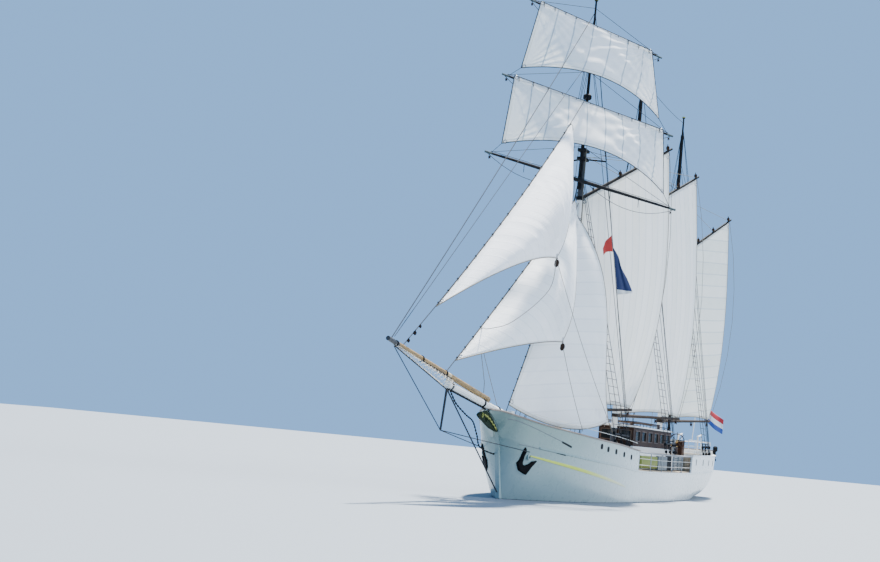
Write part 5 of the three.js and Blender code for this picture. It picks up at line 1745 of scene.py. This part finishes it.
green, gold = Shape().prism(KNEE, -KEEL_HALF * 0.8, KEEL_HALF * 0.8), Shape()
for side in SIDES.values():
    y = side * KEEL_HALF
    spiral(gold, at(21.40, y, 4.02), 0.10, 1.5, side, 0.030)
    spiral(green, at(20.76, y, 3.86), 0.10, -1.4, side, 0.035)
    for x, z in LEAVES:
        root, tip = at(x, y, z), at(x - 0.28, y + side * 0.01, z - 0.14)
        middle = root.lerp(tip, 0.5) + at(0.03, side * 0.03, 0.04)
        horn(gold, [root, middle, tip], [0.03, 0.05, 0.010], [0.02, 0.025, 0.01], (0, side, 0))
piece("stem_scroll_knee", green, leaf_green, bevel=0.025)
piece("stem_scroll_gilt", gold, gilt, crease=80)

# %% [markdown]
# Iron bands hold the bowsprit and the jib boom together. A chain holds the bowsprit down: it runs
# from under its cap back to the stem and up the starboard bow. Every topmast ends in a round truck,
# the main and mizzen topmasts wear a black sleeve, and the fore one an iron collar at its yards.

# %% Spar bands, bobstay chain and topmast ironwork
BOWSPRIT_BANDS = [(25.35, 0.205), (21.3, 0.22), (19.3, 0.225)]
JIB_BOOM_BANDS = [(0.47, 0.155), (0.70, 0.145), (0.93, 0.125)]
CHAIN_WAY = [
    (25.3, 0, 4.96), (24.5, 0, 4.42), (23.2, 0, 3.96),
    (22.27, 0, 3.68), (21.5, -0.05, 3.06), (20.7, -0.15, 2.48),
]
TRUCK_PROFILE = [(0, 0.05), (0.01, 0.11), (0.05, 0.13), (0.09, 0.11), (0.11, 0.04)]
COLLAR_PROFILE = [(0, 0.12), (0.02, 0.20), (0.10, 0.25), (0.24, 0.25), (0.32, 0.18), (0.34, 0.10)]
COLLAR_Z = 22.78


def band(shape, start, end, t, radius, reach):
    edge = radius - 0.02
    profile = [(-reach, edge), (0.01 - reach, radius), (reach - 0.01, radius), (reach, edge)]
    shape.turned(start.lerp(end, t), end - start, profile, 24)


bands = Shape()
for x, radius in BOWSPRIT_BANDS:
    share = (x - BOWSPRIT_HEEL.x) / (BOWSPRIT_CAP.x - BOWSPRIT_HEEL.x)
    band(bands, BOWSPRIT_HEEL, BOWSPRIT_CAP, share, radius, 0.07)
for share, radius in JIB_BOOM_BANDS:
    band(bands, JIB_BOOM_HEEL, JIB_BOOM_TIP, share, radius, 0.05)
bands.bar([at(25.55, 0, 5.02), at(23.0, 0, 4.665), at(20.85, 0, 4.36)], 0.05, 10)
piece("bowsprit_bands", bands, black_paint)
up_the_bow = [tuple(side_at(18.7, 2.2, -1, 0.12)), tuple(side_at(17.9, 2.5, -1, 0.06))]
chain_path = [at(*p) for p in fair(CHAIN_WAY + up_the_bow, 9)]
chain = Shape().bar(chain_path, [0.05 if k % 2 else 0.022 for k in range(len(chain_path))], 6)
piece("bobstay_chain", chain, black_paint, crease=80)

trucks, sleeves = Shape(), Shape()
for mast in MAST_X:
    up = mast_point(mast, TRUCK[mast]) - mast_point(mast, TRUCK[mast] - 1)
    foot = mast_point(mast, TRUCK[mast] - 0.03, TOPMAST_OFFSET)
    trucks.turned(foot, up, TRUCK_PROFILE, 18)
piece("mast_trucks", trucks, gilt)
for mast in ("main", "mizzen"):
    low, high = DOUBLING[mast][1] + 0.05, TRUCK[mast] - 1.3
    up = mast_point(mast, high) - mast_point(mast, low)
    profile = [(0, 0.10), (0.02, 0.135), (up.length - 0.03, 0.115), (up.length, 0.07)]
    sleeves.turned(mast_point(mast, low, TOPMAST_OFFSET), up, profile, 20)
up = mast_point("fore", 23.8) - mast_point("fore", 22.8)
sleeves.turned(mast_point("fore", COLLAR_Z, TOPMAST_OFFSET), up, COLLAR_PROFILE, 20)
piece("topmast_sleeves", sleeves, black_paint)

# %% [markdown]
# ## Deckhouse and trunk
# The varnished house has a white base band, framed windows with dark glass, and a cambered roof
# with handrails. Glass sits in the middle of the wall, in the openings that the CAD cuts.

# %% Deckhouse
HOUSE_FORE, HOUSE_AFT, HOUSE_HALF = -1.7, -11.2, 1.15
SILL, HEAD, FRAME_BAR = 3.62, 4.2, 0.055
BASE_BAND = (2.94, 3.26)
frames, panes, base = Shape(), Shape(), Shape()


def window(middle, half, wall, outward, across_ship=False):
    """A pane with its four frame bars, in a side wall or in a wall across the ship."""
    def put(shape, along, out, up, chamfer):
        shape.block(*((out, along, up) if across_ship else (along, out, up)), chamfer)

    low, high = middle - half, middle + half
    face = sorted((wall, wall + 0.03 * outward))
    for up in ((HEAD, HEAD + FRAME_BAR), (SILL - FRAME_BAR, SILL)):
        put(frames, (low - FRAME_BAR, high + FRAME_BAR), face, up, 0.01)
    for along in ((low - FRAME_BAR, low), (high, high + FRAME_BAR)):
        put(frames, along, face, (SILL, HEAD), 0.01)
    glazed = wall - 0.05 * outward
    put(panes, (low, high), (glazed - 0.012, glazed + 0.012), (SILL, HEAD), 0.004)


for i in range(6):
    for side in SIDES.values():
        window(lerp(HOUSE_FORE - 0.95, HOUSE_AFT + 0.95, i / 5), 0.475, HOUSE_HALF * side, side)
for y in (-0.58, 0.58):
    window(y, 0.38, HOUSE_FORE, 1, across_ship=True)
for side in SIDES.values():
    outer = sorted((HOUSE_HALF * side, (HOUSE_HALF + 0.035) * side))
    base.block((HOUSE_AFT - 0.03, HOUSE_FORE + 0.03), outer, BASE_BAND, 0.012)
base.block((HOUSE_FORE, HOUSE_FORE + 0.035), (-HOUSE_HALF, HOUSE_HALF), BASE_BAND, 0.012)
for ys in ((-HOUSE_HALF, -0.4), (0.4, HOUSE_HALF)):
    base.block((HOUSE_AFT - 0.035, HOUSE_AFT), ys, BASE_BAND, 0.012)
piece("house_window_frames", frames, trim_wood)
piece("house_window_glass", panes, glass)
piece("house_base_band", base, white_paint)

# %% Roof, shelter frame and handrails
ROOF_HALF, ROOF_EDGE, ROOF_UNDERSIDE, CAMBER = 1.27, 4.515, 4.4406, 0.075
ROOF_ENDS = [  # x, and how far the edge is rounded there
    (HOUSE_AFT - 0.12, 0.03), (HOUSE_AFT - 0.09, 0.0),
    (HOUSE_FORE + 0.09, 0.0), (HOUSE_FORE + 0.12, 0.03),
]
rings = []
for x, inset in ROOF_ENDS:
    half = ROOF_HALF - inset
    top = []
    for y in np.linspace(-half, half, 13):
        top.append(at(x, y, ROOF_EDGE + CAMBER * (1 - (y / ROOF_HALF) ** 2) - inset * 0.6))
    rings.append(top + [at(x, y, ROOF_UNDERSIDE + inset * 0.2) for y in (half, -half)])
piece("deckhouse_roof_camber", Shape().loft(rings), white_paint, replaces=["deckhouse_roof"])

shelter, grab = Shape(), Shape()
for y in (0.95, -0.95):
    shelter.bar([at(-1.85, y, 4.55), at(-2.6, y, 4.80), at(-8.3, y, 4.80)], 0.05, 8)
    shelter.block((-8.62, -8.22), (y - 0.05, y + 0.05), (4.54, 4.86), 0.02)
for x in (-2.6, -5.4, -8.3):
    shelter.bar([at(x, -0.95, 4.80), at(x, 0.95, 4.80)], 0.04, 8)
piece("roof_shelter_frame", shelter, mahogany)
for y in (1.0, -1.0):
    rail = [at(x, y, 4.70) for x in np.linspace(-10.8, -2.1, 12)]
    grab.bar(rail, 0.026, 8)
    for p in rail:
        grab.turned(at(p.x, p.y, 4.53), (0, 0, 1), [(0, 0.03), (0.03, 0.02), (0.17, 0.018)], 8)
piece("roof_handrails", grab, mahogany)

# %% [markdown]
# The trunk under the house shows between the open rails. Its top is planked. On its port side the
# photograph shows a yellow-green canvas, grey lockers, a dark door and grey louvres.

# %% Trunk sides, doors and louvres
TRUNK_FORE, TRUNK_AFT, TRUNK_HALF = 4.3, -9.15, 2.55
planking = Shape().block((TRUNK_AFT - 0.01, TRUNK_FORE + 0.04), (-2.60, 2.60), (2.925, 2.952), 0.008)
piece("trunk_top_planks", planking, teak)
lockers, doors, louvres, canvas = Shape(), Shape(), Shape(), Shape()
for side in SIDES.values():
    def off_wall(out, side=side):
        return sorted((side * (TRUNK_HALF - 0.01), side * (TRUNK_HALF + out)))

    rings = []
    for x in np.linspace(1.75, -2.1, 15):
        bulge = 0.16 + 0.03 * math.sin(9 * x) + 0.02 * math.sin(4.3 * x)
        lashed = (bulge * 0.8, 2.68 + 0.03 * math.sin(5 * x))
        profile = [(-0.01, 1.95), (bulge, 2.0), (bulge * 1.15, 2.35), lashed, (-0.01, 2.74)]
        rings.append([at(x, side * (TRUNK_HALF + out), z) for out, z in profile])
    canvas.loft(rings)
    lockers.block((-4.35, -2.2), off_wall(0.20), (1.9, 2.78), 0.02)
    for x in (-2.95, -3.65):
        lockers.block((x - 0.33, x + 0.33), sorted((side * 2.74, side * 2.775)), (2.0, 2.70), 0.015)
    doors.block((-6.2, -4.6), off_wall(0.02), (1.9, 2.86), 0.01)
    for k in range(8):
        z = 1.98 + k * 0.115
        blade = [(2.55, z), (2.62, z - 0.01), (2.60, z + 0.035), (2.55, z + 0.075)]
        louvres.loft([[at(x, side * half, up) for half, up in blade] for x in (-9.0, -6.7)])
    for x in (-9.05, -6.65, -7.85):
        louvres.block((x - 0.04, x + 0.04), off_wall(0.085), (1.92, 2.9), 0.01)
piece("trunk_canvas", canvas, canvas_paint, crease=70)
piece("trunk_lockers", lockers, grey_paint, slot="wire_rope")
piece("trunk_doors", doors, black_paint)
piece("trunk_louvres", louvres, grey_paint, slot="wire_rope")

# %% [markdown]
# ## Deck fittings
# The skylight and the hatch get glass, bars and planked lids. The windlass barrel gets whelps and
# rims, and chains lead from it to the hawse. Cowl ventilators stand in pairs by the after house and
# on the fore deck.

# %% Skylight and hatch
sky_glass, sky_bars, hatch_lid = Shape(), Shape(), Shape()
for side in SIDES.values():
    pane = [(0, 3.74), (0.58, 3.50), (0.58, 3.47), (0, 3.70)]
    sky_glass.loft([[at(x, side * half, z) for half, z in pane] for x in (-15.5, -14.1)])
for x in np.linspace(-15.45, -14.15, 7):
    sky_bars.bar([at(x, -0.6, 3.53), at(x, 0, 3.78), at(x, 0.6, 3.53)], 0.018, 6)
sky_bars.bar([at(-15.6, 0, 3.78), at(-14.0, 0, 3.78)], 0.03, 8)
piece("skylight_glass", sky_glass, glass)
piece("skylight_bars", sky_bars, bronze)
for k in range(8):
    y = -0.7 + 0.175 * k
    hatch_lid.block((5.55, 7.25), (y + 0.006, y + 0.169), (2.853, 2.90), 0.008)
for x in (5.9, 6.9):
    hatch_lid.block((x - 0.05, x + 0.05), (-0.73, 0.73), (2.895, 2.93), 0.01)
piece("hatch_planks", hatch_lid, teak)

# %% Windlass
WINDLASS_X, BARREL_UP = 14.6, 0.55
BARREL = [  # distance across the ship, radius
    (0, 0.10), (0.02, 0.24), (0.20, 0.16), (0.30, 0.24), (0.34, 0.24), (0.36, 0.17),
    (0.78, 0.20), (0.80, 0.27), (0.90, 0.27), (0.92, 0.20),
    (1.34, 0.17), (1.36, 0.24), (1.40, 0.24), (1.50, 0.16), (1.68, 0.24), (1.70, 0.10),
]
deck_z = deck_height(WINDLASS_X)
barrel_z = deck_z + BARREL_UP
windlass = Shape().turned(at(WINDLASS_X, -0.85, barrel_z), (0, 1, 0), BARREL, 22)
post_length, post_height = (WINDLASS_X - 0.24, WINDLASS_X + 0.24), (deck_z + 0.01, barrel_z + 0.27)
for y in (-0.6, 0.6):
    windlass.block(post_length, (y - 0.07, y + 0.07), post_height, 0.05)
for y in (-0.42, 0.42):
    start, end = at(WINDLASS_X + 0.2, y, barrel_z + 0.1), at(17.0, y, deck_height(16.6) + 0.12)
    links = [start.lerp(end, t) - at(0, 0, 0.12 * math.sin(math.pi * t)) for t in np.linspace(0, 1, 20)]
    windlass.bar(links, [0.055 if k % 2 else 0.035 for k in range(20)], 6)
piece("windlass_detail", windlass, black_paint, replaces=["windlass"])


# %% Ventilators and stove pipe
def ventilator(shape, x, y, foot, height, radius):
    """A cowl ventilator: an upright pipe that bends forward into a flared mouth."""
    rows = [  # distance forward, height and radius
        (0, 0, radius), (0, height * 0.7, radius), (0.02, height * 0.84, radius * 1.05),
        (radius * 0.7, height * 0.97, radius * 1.25), (radius * 1.7, height, radius * 1.7),
    ]
    smooth = fair(rows, 4)
    shape.bar([at(x + ahead, y, foot + up) for ahead, up, wide in smooth], list(smooth[:, 2]), 18)


vents = Shape()
for side in SIDES.values():
    ventilator(vents, -12.9, 0.95 * side, RAISED_DECK, 0.95, 0.11)
    ventilator(vents, 8.2, 1.3 * side, deck_height(8.2), 0.9, 0.13)
piece("cowl_ventilators", vents, white_paint)
stove = [(0, 0.14), (0.05, 0.10), (3.2, 0.10), (3.25, 0.12), (3.4, 0.12), (3.45, 0.05)]
piece("stove_pipe", Shape().turned(at(-11.7, 0.83, 2.94), (0, 0, 1), stove, 18), black_paint)

# %% [markdown]
# The wheel gets a brass cap, and the dinghy in the davits becomes an open boat: a thin hull with a
# gunwale, thwarts and an outboard motor on its transom.

# %% Dinghy and wheel cap
DINGHY_HALF_LENGTH, DINGHY_HALF_WIDTH = 1.75, 0.62
DINGHY_X, DINGHY_Z = -22.1, 3.15
WHEEL_HUB = at(-17.62, 0, 3.93)


def boat_ring(y, inset):
    t = y / DINGHY_HALF_LENGTH
    width = DINGHY_HALF_WIDTH * (1 - 0.75 * max(0, -t) ** 2.2) * (0.93 if t > 0.9 else 1) - inset
    low = DINGHY_Z - 0.3 * (1 - 0.5 * t * t) + inset
    top = DINGHY_Z + 0.35
    ring = []
    for a in np.linspace(0, math.pi, 15):
        c, s = math.cos(a), math.sin(a)
        ring.append(at(DINGHY_X + math.copysign(abs(c) ** 0.55, c) * width, y, top - (top - low) * s**0.55))
    return ring


boat, gunwale = Shape(), Shape()
outer = [boat_ring(y, 0.0) for y in np.linspace(-DINGHY_HALF_LENGTH, DINGHY_HALF_LENGTH, 15)]
inner = [boat_ring(y, 0.04) for y in np.linspace(-1.70, 1.71, 15)]
boat.loft([ring + back[::-1] for ring, back in zip(outer, inner)])
for y in (-0.75, 0.15, 1.0):
    boat.block((-22.62, -21.58), (y - 0.13, y + 0.13), (3.30, 3.34), 0.01)
piece("dinghy_hull", boat, white_paint, replaces=["dinghy"], crease=60)
edge = [ring[0] for ring in outer] + [ring[-1] for ring in outer[::-1]]
gunwale.bar([*edge, edge[0]], 0.035, 8)
piece("dinghy_gunwale", gunwale, trim_wood, crease=80)
motor = Shape().block((-22.27, -21.93), (1.72, 2.05), (3.42, 3.86), 0.09)
motor.block((-22.17, -22.03), (1.80, 1.95), (2.75, 3.5), 0.04)
motor.block((-22.19, -22.01), (1.70, 1.84), (3.25, 3.5), 0.03)
motor.turned(at(-22.1, 1.95, 2.80), (0, 1, 0), [(0, 0.02), (0.03, 0.11), (0.05, 0.02)], 12)
piece("outboard_motor", motor, black_paint)
hub_cap = [(-0.02, 0.02), (0.0, 0.09), (0.12, 0.115), (0.14, 0.05)]
piece("wheel_hub_cap", Shape().turned(WHEEL_HUB, (1, 0, 0), hub_cap, 20), bronze, body="helm")

# %% [markdown]
# ## Finishes for the CAD's own solids
# A CAD node whose shape is right stays. Its material slot gets the matching finish. Every node
# that the table doesn't name is a wire.

# %% Paint the CAD nodes
YARDARM = 0.42


def make_yard_paint(name):
    """Black, with the last stretch of each yardarm grey-green."""
    material, shader, place = new_finish(f"{name}_yard_paint", 0.7)
    x, y = place.parts()[:2]
    height, half = YARDS[name][:2]
    middle = mast_point("fore", height, TOPMAST_OFFSET).x * SCALE
    across = y * math.cos(BRACE) - (x - middle) * math.sin(BRACE)
    tip = across.off(0) > (half - YARDARM) * SCALE
    wear = place.noise(14, 5, 0.65).smooth(0.55, 0.8) * 0.35
    black = blend(wear, (0.006, 0.007, 0.009), (0.035, 0.031, 0.027))
    feed(shader, blend(tip, black, (0.06, 0.085, 0.085)), None, place.noise(80, 2), 0.0006, 0.4)
    shader.inputs["Specular IOR Level"].default_value = 0.2
    return material


PAINTED = [
    (teak, ["deck", "raised_deck"]),
    (white_paint, ["midship_trunk", "bowsprit", "stern_rail"]),
    (galvanised, ["rail_waist_port", "rail_waist_starboard"]),
    (mahogany, ["deckhouse_walls", "fore_hatch", "aft_skylight", "steering_box", "steering_wheel"]),
    (fore_mast_paint, ["fore_lower_mast"]),
    (mast_paint, ["main_lower_mast", "mizzen_lower_mast"]),
    (black_paint, [f"{mast}_{spar}" for mast in MAST_X for spar in ("topmast", "gaff")]),
    (boom_wood, [f"{mast}_boom" for mast in MAST_X]),
    (spruce, ["jib_boom"]),
    (hull_paint, ["rudder"]),
    (bronze, ["propeller"]),
]
finish_of = {name: finish for finish, names in PAINTED for name in names}
for name in YARDS:
    finish_of[f"{name}_yard"] = make_yard_paint(name)
shown = {name: node for name, node in nodes.items() if not node.hide_render}
for name, node in shown.items():
    for slot in node.material_slots:
        slot.material = finish_of.get(name, wire)
print("CAD nodes shown:", len(shown))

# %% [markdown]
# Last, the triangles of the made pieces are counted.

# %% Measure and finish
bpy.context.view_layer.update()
triangles = sum(len(f.vertices) - 2 for made in made_pieces for f in made.data.polygons)
print("pieces:", len(made_pieces), "triangles before modifiers:", triangles)
